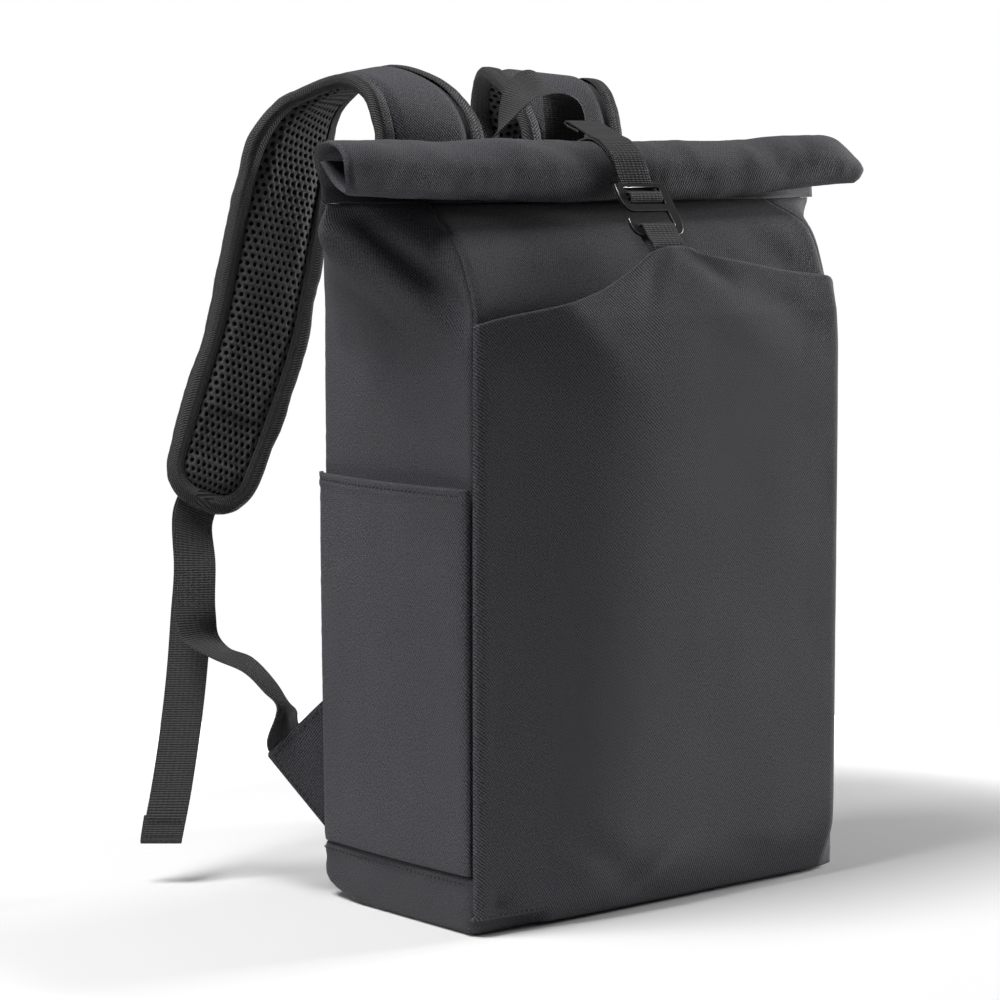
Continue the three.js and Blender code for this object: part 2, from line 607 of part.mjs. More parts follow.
// The closure strap climbs from the back seam over the roll, turns round the hook's middle bar and
// doubles back.
function addClosureStrap() {
  const sewn = wallPoint(CORNERS.backRight, CORNERS.backLeft, 0.5, BODY_HEIGHT * WEB_SEAM);
  const seam = wallPoint(CORNERS.backRight, CORNERS.backLeft, 0.5, BODY_HEIGHT);
  const anchored = [
    new THREE.Vector2(sewn.y + WEB_THICK, sewn.z + SEW_GAP),
    new THREE.Vector2(seam.y + WEB_THICK, seam.z + WEB_THICK),
    new THREE.Vector2(lerp(seam.y, rollOutside(0, 0).x, 0.5) + rollFace, BODY_HEIGHT + NECK_RISE * 0.6),
    ...[1, 2, 3, 4, 5, 6, 7, 8, 9, 10].map((k) => rollOutside(k / ROLL_STEPS, rollFace)),
    onHook(0, -underHook - layerStep),
    onHook(TOP_BAR + 1.4, -underHook - layerStep),
    onHook(MIDDLE_BAR.from - 1, -underHook - layerStep * 0.4),
    onHook(MIDDLE_BAR.to, -underHook),
  ];
  const reach = underHook * 0.72;
  const turn = [
    onHook(MIDDLE_BAR.to + reach, -reach),
    onHook(MIDDLE_BAR.to + underHook, 0),
    onHook(MIDDLE_BAR.to + reach, reach),
  ];
  const returning = [
    onHook(MIDDLE_BAR.to, underHook),
    onHook(MIDDLE_BAR.from - 0.8, underHook),
    onHook(TOP_BAR + 1, -underHook),
    onHook(0, -underHook),
  ];
  const tail = [9, 8, 7, 6].map((k) => rollOutside(k / ROLL_STEPS, rollFace + layerStep));
  const leaving = tail.at(-1);
  const away = new THREE.Vector2(0.93, 0.37);
  const tip = leaving.clone().addScaledVector(away, TAIL_HEM * 1.45);
  const lower = new THREE.Vector2(away.y, -away.x).multiplyScalar(layerStep + 0.3);
  const hem = [
    tip.clone(),
    tip.clone().addScaledVector(lower, 0.5).addScaledVector(away, 0.9),
    tip.clone().add(lower),
    tip.clone().add(lower).addScaledVector(away, -TAIL_HEM * 0.8),
  ];
  const drift = (height) => STRAP_DRIFT * smooth(height, HOOK_HEIGHT, ROLL_TOP.y);
  const path = [...anchored, ...turn, ...returning, ...tail, ...hem];
  addPiece("closure_strap", flatWebbing(path, drift), WEBBING);
}

// The hook is one flat G: a frame with two slots, and an open arm below it that the loop hangs on.
function addHook() {
  const half = HOOK_WIDTH / 2;
  const rail = half - HOOK_RAIL;
  const bar = HOOK_LENGTH - HOOK_BAR;
  const shape = new THREE.Shape();
  shape.moveTo(-half, 0);
  shape.lineTo(half - 5, 0);
  shape.quadraticCurveTo(half, 1, half, -7);
  shape.lineTo(half + 1, -FRAME_BAR.to);
  shape.quadraticCurveTo(half + 2, -bar, half - 1, -HOOK_LENGTH + 2);
  shape.quadraticCurveTo(half - 3, -HOOK_LENGTH, half - 6, -HOOK_LENGTH);
  shape.lineTo(-half + 7, -HOOK_LENGTH);
  shape.quadraticCurveTo(-half - 1, -HOOK_LENGTH + 1, -half, -bar + 6);
  shape.quadraticCurveTo(-half + 2, -bar + 8, -half + 4, -bar + 5);
  shape.quadraticCurveTo(-half + 4, -bar, -half + 7, -bar);
  shape.lineTo(rail - 2, -bar);
  shape.quadraticCurveTo(rail, -bar, rail, -bar + 2);
  shape.lineTo(rail - 1, -FRAME_BAR.to - 2);
  shape.quadraticCurveTo(rail - 1, -FRAME_BAR.to, rail - 3, -FRAME_BAR.to);
  shape.lineTo(-rail + 2, -FRAME_BAR.to);
  shape.quadraticCurveTo(-half, -FRAME_BAR.to + 1, -half, -TOP_BAR - 4);
  shape.closePath();
  const slot = (from, to) => {
    const hole = new THREE.Path();
    hole.moveTo(-rail + 1, -from);
    hole.lineTo(-rail + 1, -to);
    hole.lineTo(rail - 1, -to);
    hole.lineTo(rail - 1, -from);
    hole.closePath();
    return hole;
  };
  shape.holes.push(slot(TOP_BAR, MIDDLE_BAR.from), slot(MIDDLE_BAR.to, FRAME_BAR.from));
  const casting = { depth: HOOK_THICK, bevelEnabled: false, curveSegments: 3 };
  const geometry = new THREE.ExtrudeGeometry(shape, casting);
  geometry.translate(0, 0, -HOOK_THICK / 2);
  const hook = addPiece("g_hook", geometry, METAL);
  hook.position.set(0, hookTop.x, hookTop.y);
  hook.rotation.x = Math.PI / 2 - lean;
}

// The loop that the hook's arm passes through, sewn inside the pocket's peak.
function addHookLoop() {
  const peak = pocketPoint(0.5, 1, 0);
  const inside = layerStep * 0.5 + SEW_GAP + WEB_THICK / 2;
  const barFrom = HOOK_LENGTH - HOOK_BAR;
  const front = [
    new THREE.Vector2(peak.y + inside, peak.z - 22),
    new THREE.Vector2(peak.y + inside, peak.z - 6),
    new THREE.Vector2(peak.y + inside + 0.4, peak.z + 1),
    onHook(HOOK_LENGTH + 0.6, underHook + 0.2),
    onHook(barFrom + 1, underHook),
  ];
  const turn = [
    onHook(barFrom - underHook * 0.7, underHook * 0.7),
    onHook(barFrom - underHook, 0),
    onHook(barFrom - underHook * 0.7, -underHook * 0.7),
  ];
  const back = [
    onHook(barFrom + 1, -underHook),
    onHook(HOOK_LENGTH + 0.6, -underHook),
    onHook(HOOK_LENGTH + 3, -underHook * 0.6),
    new THREE.Vector2(peak.y + inside + layerStep + 2, peak.z - 2),
    new THREE.Vector2(peak.y + inside + layerStep, peak.z - 9),
    new THREE.Vector2(peak.y + inside + layerStep, peak.z - 22),
  ];
  addPiece("hook_loop", flatWebbing([...front, ...turn, ...back]), WEBBING);
}

// The haul handle makes half a turn between its feet, which both lie flat on the back.
function addHandle() {
  const foot = wallPoint(CORNERS.backRight, CORNERS.backLeft, 0.5, BODY_HEIGHT * HANDLE_SEAM);
  const back = foot.y + SEW_GAP + WEB_THICK / 2;
  const tilt = THREE.MathUtils.degToRad(HANDLE_TILT);
  const middleAt = (share) => {
    const angle = clamp(share, 0, 1) * Math.PI;
    const height = Math.sin(angle) ** 0.7;
    const x = -Math.cos(angle) * (HANDLE_SPAN / 2);
    return vec(x, lerp(back, HANDLE_FORWARD, smooth(height, 0, 1)), lerp(foot.z, HANDLE_TOP, height));
  };
  const stations = Array.from({ length: HANDLE_STEPS + 1 }, (_, k) => {
    const share = k / HANDLE_STEPS;
    const twist = THREE.MathUtils.degToRad(column(HANDLE_TURNS, "turn", share));
    const along = middleAt(share + 0.02).sub(middleAt(share - 0.02)).normalize();
    const level = vec(Math.cos(twist), Math.sin(twist) * Math.cos(tilt), Math.sin(twist) * Math.sin(tilt));
    const across = level.addScaledVector(along, -level.dot(along)).normalize();
    return { middle: middleAt(share), across, width: WEB_WIDTH };
  });
  addPiece("haul_handle", ribbon(stations, [-1, 0, 1]), WEBBING);
}

// A strap's route as stations. At its lower end the corners are rounded.
function strapStations(mirror) {
  const middles = STRAP_ROUTE.map((row) => vec(mirror * row.x, row.y, BODY_HEIGHT + row.above));
  const curve = new THREE.CatmullRomCurve3(middles, false, "centripetal");
  const placed = STRAP_ROUTE.map((row, k) => ({ ...row, at: k / (STRAP_ROUTE.length - 1) }));
  const length = curve.getLength();
  const straight = length - STRAP_ROUND;
  const even = Array.from({ length: STRAP_STEPS }, (_, k) => (k / (STRAP_STEPS - 1)) * straight);
  const end = [0.7, 0.42, 0.16, 0].map((share) => length - share * STRAP_ROUND);
  return [...even, ...end].map((distance) => {
    const share = distance / length;
    const t = curve.getUtoTmapping(share);
    const turn = mirror * THREE.MathUtils.degToRad(column(placed, "turn", t));
    const tangent = curve.getTangentAt(share);
    const rise = mirror * THREE.MathUtils.degToRad(column(placed, "lift", t));
    const level = vec(Math.cos(turn), Math.sin(turn), Math.tan(rise));
    const left = length - distance;
    const beyond = Math.max(STRAP_ROUND - left, 0);
    const cut = STRAP_ROUND - Math.sqrt(STRAP_ROUND ** 2 - beyond ** 2);
    return {
      middle: curve.getPointAt(share),
      across: level.addScaledVector(tangent, -level.dot(tangent)).normalize(),
      width: column(placed, "width", t) - 2 * cut,
      left,
      passed: distance,
    };
  });
}

// Half the pad's thickness: thin at its edges, where the binding is sewn, and full in the middle.
function padHalf(place, { width, left, passed }) {
  const side = ((1 - Math.abs(place)) * width) / 2;
  const corner = STRAP_ROUND - Math.hypot(STRAP_ROUND - side, STRAP_ROUND - left);
  const edge = side < STRAP_ROUND && left < STRAP_ROUND ? corner : Math.min(side, left);
  const inside = Math.min(edge, passed / 2);
  return lerp(STRAP_EDGE, STRAP_PAD, smooth(inside, BINDING_WIDTH + 1.5, BINDING_WIDTH + PAD_SWELL)) / 2;
}

// The direction out of a strap's outer side at a station.
function strapNormal(stations, k) {
  const ahead = stations[Math.min(k + 1, stations.length - 1)].middle;
  const behind = stations[Math.max(k - 1, 0)].middle;
  return ahead.clone().sub(behind).cross(stations[k].across).normalize();
}

// The binding wraps the pad's edge down one side, round the lower end and up the other side.
function bindingAround(stations) {
  const edge = (sign) =>
    stations.map(({ middle, across, width, left }, k) => ({
      point: middle.clone().addScaledVector(across, (sign * width) / 2),
      middle,
      normal: strapNormal(stations, k),
      sideways: left >= STRAP_ROUND ? across.clone().multiplyScalar(sign) : null,
    }));
  const around = [...edge(-1), ...edge(1).reverse()];
  const last = around.length - 1;
  const half = STRAP_EDGE / 2 + BINDING_EASE;
  const face = (cloth) =>
    around.map(({ point, middle, normal, sideways }, k) => {
      const along = around[Math.min(k + 1, last)].point.clone().sub(around[Math.max(k - 1, 0)].point);
      const out = sideways ?? along.cross(normal).normalize();
      if (out.dot(point.clone().sub(middle)) < 0) out.negate();
      const at = (reach, lift) => point.clone().addScaledVector(out, reach).addScaledVector(normal, lift);
      return [
        at(-BINDING_WIDTH, half + cloth),
        at(SEW_GAP + cloth, half + cloth),
        at(SEW_GAP + cloth, -half - cloth),
        at(-BINDING_WIDTH, -half - cloth),
      ];
    });
  return shellBetween(face(BINDING_CLOTH), face(0));
}

// A place on a strap, measured up from its lower end.
function strapAt(stations, left) {
  let k = stations.length - 2;
  while (k > 0 && stations[k].left < left) k -= 1;
  const t = (stations[k].left - left) / (stations[k].left - stations[k + 1].left);
  const mix = (a, b) => a.clone().lerp(b, t);
  return {
    middle: mix(stations[k].middle, stations[k + 1].middle),
    across: mix(stations[k].across, stations[k + 1].across).normalize(),
    out: mix(strapNormal(stations, k), strapNormal(stations, k + 1)).negate().normalize(),
  };
}

// The frame at a strap's lower end, level with the ladder lock: along the strap, across it and out of
// its outer side.
function strapEnd(stations) {
  const middle = -LOCK_TOP - LOCK_LENGTH / 2;
  const { middle: centre, across, out } = strapAt(stations, middle);
  const down = out.clone().cross(across).normalize();
  const at = (along, lift) => centre.clone().addScaledVector(down, along + middle).addScaledVector(out, lift);
  const on = (left, lift) => {
    const place = strapAt(stations, left);
    return { middle: place.middle.addScaledVector(place.out, lift), across: place.across, width: WEB_WIDTH };
  };
  return { at, on, across, out, down };
}

const onStrap = STRAP_PAD / 2 + 2 * SEW_GAP + WEB_THICK / 2;
const lockHalf = LOCK_THICK / 2 + SEW_GAP + WEB_THICK / 2;
const lockMiddle = onStrap + lockHalf;
const lockSlot = (LOCK_LENGTH - 3 * LOCK_BAR) / 2;
const turningBar = LOCK_TOP + LOCK_BAR + lockSlot;

function addLock(side, end) {
  const half = LOCK_WIDTH / 2;
  const shape = new THREE.Shape();
  shape.moveTo(-half + 2, 0);
  shape.lineTo(half - 2, 0);
  shape.lineTo(half, -2);
  shape.lineTo(half, -LOCK_LENGTH + 2);
  shape.lineTo(half - 2, -LOCK_LENGTH);
  shape.lineTo(-half + 2, -LOCK_LENGTH);
  shape.lineTo(-half, -LOCK_LENGTH + 2);
  shape.lineTo(-half, -2);
  shape.closePath();
  const inner = WEB_WIDTH / 2 + 1;
  for (const top of [LOCK_BAR, 2 * LOCK_BAR + lockSlot]) {
    const hole = new THREE.Path();
    hole.moveTo(-inner, -top);
    hole.lineTo(-inner, -top - lockSlot);
    hole.lineTo(inner, -top - lockSlot);
    hole.lineTo(inner, -top);
    hole.closePath();
    shape.holes.push(hole);
  }
  const geometry = new THREE.ExtrudeGeometry(shape, { depth: LOCK_THICK, bevelEnabled: false });
  geometry.translate(0, 0, -LOCK_THICK / 2);
  const up = end.down.clone().negate();
  const frame = new THREE.Matrix4().makeBasis(end.across, up, end.across.clone().cross(up));
  geometry.applyMatrix4(frame.setPosition(end.at(LOCK_TOP, lockMiddle)));
  addPiece(`ladder_lock_${side}`, geometry, PLASTIC);
}

// The short webbing that holds the lock is sewn to the strap's outer side and wraps the lock's top bar.
function addBuckleLoop(side, end) {
  const bar = LOCK_TOP + LOCK_BAR;
  const layer = WEB_THICK + SEW_GAP;
  const held = (along, lift) => ({ middle: end.at(along, lift), across: end.across, width: WEB_WIDTH });
  const stations = [
    end.on(60, onStrap),
    end.on(48, onStrap),
    held(LOCK_TOP, onStrap),
    held(bar, onStrap),
    held(bar + lockHalf * 0.7, lockMiddle - lockHalf * 0.6),
    held(bar + lockHalf * 0.7, lockMiddle + lockHalf * 0.6),
    held(bar, lockMiddle + lockHalf),
    held(LOCK_TOP - 1, lockMiddle + lockHalf),
    end.on(48, onStrap + layer),
    end.on(60, onStrap + layer),
  ];
  addPiece(`buckle_loop_${side}`, ribbon(stations), WEBBING);
}

// The adjuster webbing climbs from the anchor tab with a twist, turns round the lock's bar and hangs
// as a free tail.
function addAdjuster(side, mirror, end, tab) {
  const station = ({ x, y, z, turn, lift }) => {
    const a = mirror * THREE.MathUtils.degToRad(turn);
    const b = mirror * THREE.MathUtils.degToRad(lift);
    const across = vec(Math.cos(a) * Math.cos(b), Math.sin(a) * Math.cos(b), Math.sin(b));
    return { middle: vec(mirror * x, y, z), across, width: WEB_WIDTH };
  };
  const held = (along, lift) => ({ middle: end.at(along, lift), across: end.across, width: WEB_WIDTH });
  const [inside, outside] = [onStrap, lockMiddle + lockHalf];
  const start = { middle: tab.edge, across: tab.across, width: WEB_WIDTH };
  const climbing = [start, ...ADJUSTER_RISE.map(station)];
  const through = [
    held(8, inside - 1),
    held(-6, inside),
    held(turningBar, inside),
    held(turningBar - lockHalf * 0.7, lockMiddle - lockHalf * 0.7),
    held(turningBar - lockHalf, lockMiddle),
    held(turningBar - lockHalf * 0.7, lockMiddle + lockHalf * 0.7),
    held(turningBar, outside),
    held(-6, outside),
    held(8, outside - 1),
  ];
  const hanging = ADJUSTER_TAIL.map(station);
  const foot = hanging.at(-1);
  const back = end.out.clone().multiplyScalar(WEB_THICK + SEW_GAP);
  const hem = [
    { ...foot, middle: foot.middle.clone().addScaledVector(back, 0.5).add(vec(0, 0, -1)) },
    { ...foot, middle: foot.middle.clone().add(back) },
    { ...foot, middle: foot.middle.clone().add(back).add(vec(mirror * 3, 0, TAIL_HEM)) },
  ];
  addPiece(`adjuster_webbing_${side}`, ribbon([...climbing, ...through, ...hanging, ...hem]), WEBBING);
}

// The anchor tab is a triangle of doubled cloth in the seam behind the side panel.
function addTab(side, mirror, corner) {
  const seam = bodyRing(TAB_TIP / BODY_HEIGHT)[corner * (ARC_STEPS + 1) + ARC_STEPS / 2];
  const out = vec(mirror * TAB_AIM.x, TAB_AIM.y, 0).normalize();
  const start = 2 * SEW_GAP;
  const shape = new THREE.Shape();
  shape.moveTo(start, TAB_FOOT);
  shape.lineTo(TAB_REACH, TAB_TIP - 2);
  shape.lineTo(TAB_REACH, TAB_TIP);
  shape.lineTo(start, TAB_TOP);
  shape.closePath();
  const geometry = new THREE.ExtrudeGeometry(shape, { depth: TAB_CLOTH, bevelEnabled: false });
  geometry.translate(0, 0, -TAB_CLOTH / 2);
  const up = vec(0, 0, 1);
  const facing = out.clone().cross(up);
  const frame = new THREE.Matrix4().makeBasis(out, up, facing);
  geometry.applyMatrix4(frame.setPosition(seam.x, seam.y, 0));
  addPiece(`anchor_tab_${side}`, geometry, CANVAS);
  const slope = vec(0, 0, TAB_TIP - TAB_TOP).addScaledVector(out, TAB_REACH - start).normalize();
  const tip = seam.clone().setZ(TAB_TIP).addScaledVector(out, TAB_REACH);
  const away = facing.clone().cross(slope).normalize();
  if (away.z < 0) away.negate();
  const edge = tip.addScaledVector(slope, -WEB_WIDTH / 2 - 1).addScaledVector(away, 2 * SEW_GAP);
  return { edge, across: slope.multiplyScalar(-mirror) };
}

// The yoke covers the ends of the straps across the top of the back, and curves down to the back at
// its own ends.
function addYoke() {
  const shares = Array.from({ length: 15 }, (_, k) => 0.5 + YOKE_HALF * (k / 7 - 1));
  const face = (depth) =>
    YOKE_ROWS.map(({ below, y }) =>
      shares.map((share) => {
        const p = wallPoint(CORNERS.backRight, CORNERS.backLeft, share, BODY_HEIGHT - below);
        const covered = smooth(YOKE_HALF - Math.abs(share - 0.5), 0, 0.05);
        const onBack = p.y + 2 * SEW_GAP;
        return p.setY(lerp(onBack, Math.max(onBack, y), covered) + depth);
      }),
    );
  addPiece("strap_yoke", shellBetween(face(CLOTH), face(0)), CANVAS);
}

function addStrap(side, mirror, corner) {
  const stations = strapStations(mirror);
  addPiece(`strap_pad_${side}`, ribbon(stations, PAD_COLUMNS, padHalf), MESH_CLOTH);
  addPiece(`strap_binding_${side}`, bindingAround(stations), TAPE);
  const end = strapEnd(stations);
  addLock(side, end);
  addBuckleLoop(side, end);
  addAdjuster(side, mirror, end, addTab(side, mirror, corner));
}

addWalls();
addBase();
addFrontPocket();
addSidePocket("right", CORNERS.frontRight, CORNERS.backRight);
addSidePocket("left", CORNERS.backLeft, CORNERS.frontLeft);
addCollar();
addClosureStrap();
addHook();
addHookLoop();
addHandle();
addYoke();
addStrap("left", 1, CORNERS.backLeft);
addStrap("right", -1, CORNERS.backRight);

export default backpack;
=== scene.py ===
# %% [markdown]
# # A roll-top laptop backpack
# The bag is a tall box of dark twill canvas. Its collar is rolled shut and held by a strap with a
# flat metal hook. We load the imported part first, because it fixes where every piece goes, and then
# sew one cloth, webbing or metal piece over each of its solids.

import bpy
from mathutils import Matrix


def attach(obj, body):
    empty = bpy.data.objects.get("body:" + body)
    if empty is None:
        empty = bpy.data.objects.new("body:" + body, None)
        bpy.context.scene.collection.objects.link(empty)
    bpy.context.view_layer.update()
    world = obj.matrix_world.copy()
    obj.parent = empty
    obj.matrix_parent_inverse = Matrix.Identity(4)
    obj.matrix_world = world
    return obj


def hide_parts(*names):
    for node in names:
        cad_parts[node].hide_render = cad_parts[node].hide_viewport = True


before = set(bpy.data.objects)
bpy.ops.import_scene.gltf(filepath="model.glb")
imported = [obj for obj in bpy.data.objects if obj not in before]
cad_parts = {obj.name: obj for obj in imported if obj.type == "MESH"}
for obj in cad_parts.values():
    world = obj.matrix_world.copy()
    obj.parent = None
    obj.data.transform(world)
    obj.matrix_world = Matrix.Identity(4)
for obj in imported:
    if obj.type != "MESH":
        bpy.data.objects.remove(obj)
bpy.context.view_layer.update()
print("packed part:", len(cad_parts), "solids")

# %% Modules for shaping
import functools
import math

import bmesh
import bpy
from mathutils import Matrix, Vector, noise

# %% [markdown]
# ## The camera
# The bag was photographed from its left front, a little above the middle, with a long lens. The
# camera comes first so that every piece can be judged from the right place.

# %% Camera at the photograph's angle
camera_data = bpy.data.cameras.new("photo_camera")
camera_data.lens = 115.9
camera_data.sensor_width = 36
camera_data.clip_end = 100
photo_camera = bpy.data.objects.new("photo_camera", camera_data)
bpy.context.scene.collection.objects.link(photo_camera)
photo_camera.location = (-1.296, -1.445, 0.4455)
looking = Vector((0.6443, 0.7571, -0.1080))
photo_camera.rotation_euler = looking.to_track_quat("-Z", "Y").to_euler()
bpy.context.scene.camera = photo_camera
print("camera", [round(value, 3) for value in photo_camera.location])

# %% [markdown]
# ## Sizes of the pattern
# A bag maker works in millimetres from the lower corners of the seams. The named sizes are those of
# the part's source, but the upper body and above all the front pocket are shaped further here: the
# pocket stands up to 13 mm in front of its solid. The loaded base hangs BASE_SAG below those corners,
# so that every height is raised by it at the end.

# %% Named sizes, in millimetres
MM = 0.001
BODY_WIDTH = 290
BODY_DEPTH = 145
BODY_HEIGHT = 412
WING_FLARE = 60
FRONT_ROUND = 7
BACK_ROUND = 9
WING_CREASE = 7
FRONT_CROWN = 0.8
BACK_CROWN = 3
CLOTH = 1.8
BACK_PAD = 7
BASE_CLOTH = 2.6
BASE_HEIGHT = 31
BASE_ROUND = 6
BASE_SAG = 3.5
SEW_GAP = 0.4
POCKET_ROOM = 2.8
POCKET_SWELL = 8
POCKET_FOOT = -1
SIDE_POCKET_TOP = 253
SIDE_POCKET_CLOTH = 1.5
SIDE_POCKET_ROOM = 6
COLLAR_WIDTH = 428
COLLAR_CLOTH = 1.2
COLLAR_SLIT = 0.6
NECK_RISE = 10
ROLL_SIZE = 35
WEB_WIDTH = 25
WEB_THICK = 1.2
TAIL_HEM = 16

# %% Tables of the outline
def table(names, rows):
    """Rows of numbers as a list of named columns."""
    return [dict(zip(names.split(), row)) for row in rows]


BODY_SECTIONS = table("at corner front front_left back wing", [
    (0.00, 1.000, 1.00, 1.00, 1.000, 0.00),
    (0.08, 1.000, 1.00, 1.00, 1.000, 0.03),
    (0.45, 1.000, 1.00, 1.00, 1.000, 0.06),
    (0.78, 0.998, 1.00, 1.00, 1.000, 0.07),
    (0.84, 0.993, 0.99, 0.99, 0.995, 0.24),
    (0.92, 0.975, 0.88, 0.81, 0.990, 0.76),
    (0.96, 0.958, 0.77, 0.59, 0.900, 0.96),
    (1.00, 0.940, 0.26, 0.26, 0.290, 1.00),
])
MOUTH = table("at height", [
    (0.0, 345), (0.03, 347.5), (0.19, 355.5), (0.265, 360.5), (0.32, 365.5), (0.393, 375), (0.457, 384.5),
    (0.5, 386.5), (0.55, 386), (0.576, 383), (0.69, 377), (0.85, 369.5), (0.945, 366.5), (1.0, 358),
])


def clamp(value, low=0.0, high=1.0):
    return max(low, min(high, value))


def lerp(a, b, t):
    return a + (b - a) * t


def smooth(value, low, high):
    """0 below low, 1 above high, and an even curve between."""
    t = clamp((value - low) / (high - low))
    return t * t * (3 - 2 * t)


def column(rows, name, at):
    """One column of a table at a place between its rows, on a curve that never overshoots them."""
    last = len(rows) - 2
    i = 0
    while i < last and at > rows[i + 1]["at"]:
        i += 1

    def rise(k):
        return (rows[k + 1][name] - rows[k][name]) / (rows[k + 1]["at"] - rows[k]["at"])

    def slope(k):
        if k == 0 or k > last:
            return rise(min(k, last))
        a, b = rise(k - 1), rise(k)
        return 0 if a * b <= 0 else 2 * a * b / (a + b)

    span = rows[i + 1]["at"] - rows[i]["at"]
    t = clamp((at - rows[i]["at"]) / span)
    s = 1 - t
    low, high = rows[i][name], rows[i + 1][name]
    ends = low * s * s * (1 + 2 * t) + high * t * t * (1 + 2 * s)
    return ends + span * t * s * (slope(i) * s - slope(i + 1) * t)


print("mouth of the pocket at its peak:", round(column(MOUTH, "height", 0.5), 1), "mm")

# %% [markdown]
# ## The outline of the body
# Seen from above, the bag is a ring of eight soft corners: two at the front, two at the back, one in
# the middle of each side that folds outwards towards the top, and two that only crown the long
# walls. Each wall of cloth is a stretch of this ring between two corner seams.

# %% Rings of the body
ARC_STEPS = 8
WALLS = {"front": (7, 1), "right": (1, 3), "back": (3, 5), "left": (5, 7)}
FRONT_REACH = BODY_DEPTH / 2 - POCKET_ROOM
RING_STEP = 2.0


def corner_arc(point, soft, before, after):
    """One rounded corner of a ring. Its rounding is limited by the walls that it joins."""
    def towards(other, other_soft):
        length = (other - point).length
        reach = min(soft, max(length - other_soft, length * 0.45)) * 0.98
        return point.lerp(other, reach / length)

    start, end = towards(*before), towards(*after)
    steps = [k / ARC_STEPS for k in range(ARC_STEPS + 1)]
    return [start * (1 - t) ** 2 + point * 2 * t * (1 - t) + end * t * t for t in steps]


@functools.lru_cache(maxsize=None)
def body_ring(level):
    """The outline at a height of level ring steps."""
    share = clamp(level * RING_STEP / BODY_HEIGHT)
    corner = BODY_WIDTH / 2 * column(BODY_SECTIONS, "corner", share)
    front = -FRONT_REACH * column(BODY_SECTIONS, "front", share)
    front_left = -FRONT_REACH * column(BODY_SECTIONS, "front_left", share)
    back = BODY_DEPTH / 2 * column(BODY_SECTIONS, "back", share)
    wing = column(BODY_SECTIONS, "wing", share)
    calm = 1 - wing
    half = [
        (Vector((0, (front + front_left) / 2 - FRONT_CROWN * calm)), corner * 0.72),
        (Vector((corner, front)), FRONT_ROUND),
        (
            Vector((corner + WING_FLARE * wing, (front + back) / 2)),
            lerp((back - front) * 0.2, WING_CREASE, wing),
        ),
        (Vector((corner, back)), BACK_ROUND),
        (Vector((0, back + BACK_CROWN * calm)), corner * 0.72),
    ]
    ring = half + [(Vector((-p.x, p.y)), soft) for p, soft in (half[3], half[2])]
    ring.append((Vector((-corner, front_left)), FRONT_ROUND))
    points = []
    for k, (point, soft) in enumerate(ring):
        points += corner_arc(point, soft, ring[k - 1], ring[(k + 1) % 8])
    return points


@functools.lru_cache(maxsize=None)
def wall_line(wall, level):
    """The points of one wall at a height, and how far along it each one lies."""
    ring = body_ring(level)
    start, end = (corner * (ARC_STEPS + 1) + ARC_STEPS // 2 for corner in WALLS[wall])
    count = (end - start) % len(ring)
    points = [ring[(start + k) % len(ring)] for k in range(count + 1)]
    along = [0.0]
    for a, b in zip(points, points[1:]):
        along.append(along[-1] + (b - a).length)
    return points, along


def on_line(points, along, share):
    target = clamp(share) * along[-1]
    k = 1
    while k < len(points) - 1 and along[k] < target:
        k += 1
    return points[k - 1].lerp(points[k], (target - along[k - 1]) / (along[k] - along[k - 1]))


def on_wall(wall, share, height, out=0.0):
    """A place on a wall, from one seam to the other, moved out of the bag by out."""
    level = clamp(height, 0, BODY_HEIGHT) / RING_STEP
    low = int(level)
    a = on_line(*wall_line(wall, low), share)
    b = on_line(*wall_line(wall, low + 1), share)
    point = a.lerp(b, level - low)
    if out:
        line = wall_line(wall, low)
        run = on_line(*line, share + 0.015) - on_line(*line, share - 0.015)
        point = point + Vector((run.y, -run.x)).normalized() * out
    return Vector((point.x, point.y, height))


print("body at mid height:", [round(v) for v in on_wall("right", 0.5, 200)])

# %% [markdown]
# ## Cloth from a grid
# Woven cloth bends but hardly stretches, so each panel starts as one flat grid with its own map of
# threads. Every point of the grid is then carried to its place on the bag, and a Solidify modifier
# gives the cloth its thickness. The map stays in metres, so that the weave has its real size.

# %% Helpers that make a piece
PIECES = []


def raised(point):
    """A place in the pattern's millimetres as a place in the scene."""
    return Vector((point.x, point.y, point.z + BASE_SAG)) * MM


def as_object(name, mesh, smooth_faces=True):
    """Turns the shaped mesh into an object at the origin."""
    for face in mesh.faces:
        face.smooth = smooth_faces
    data = bpy.data.meshes.new(name)
    mesh.to_mesh(data)
    mesh.free()
    piece = bpy.data.objects.new(name, data)
    bpy.context.scene.collection.objects.link(piece)
    return piece


def cloth(name, columns, rows, place, size, wrap=False, cap=False):
    """A grid of cloth carried to its place. size is its real width and length, in millimetres."""
    mesh = bmesh.new()
    threads = mesh.loops.layers.uv.new("threads")
    bmesh.ops.create_grid(mesh, x_segments=columns, y_segments=rows, size=0.5, calc_uvs=True)
    for vert in mesh.verts:
        u, v = vert.co.x + 0.5, vert.co.y + 0.5
        for loop in vert.link_loops:
            loop[threads].uv = (u * size[0] * MM, v * size[1] * MM)
        vert.co = raised(place(u, v))
    if wrap:
        bmesh.ops.remove_doubles(mesh, verts=mesh.verts, dist=1e-6)
    if cap:
        rim = [edge for edge in mesh.edges if edge.is_boundary]
        bmesh.ops.holes_fill(mesh, edges=rim, sides=0)
    return as_object(name, mesh)


def thicken(piece, thickness, offset=-1.0, rounds=0):
    """Gives a sheet its thickness, and rounds its edges where that is asked for."""
    wall = piece.modifiers.new("thickness", "SOLIDIFY")
    wall.thickness = thickness * MM
    wall.offset = offset
    if rounds:
        soft = piece.modifiers.new("soft_edges", "SUBSURF")
        soft.levels = rounds
        soft.render_levels = rounds
    return piece


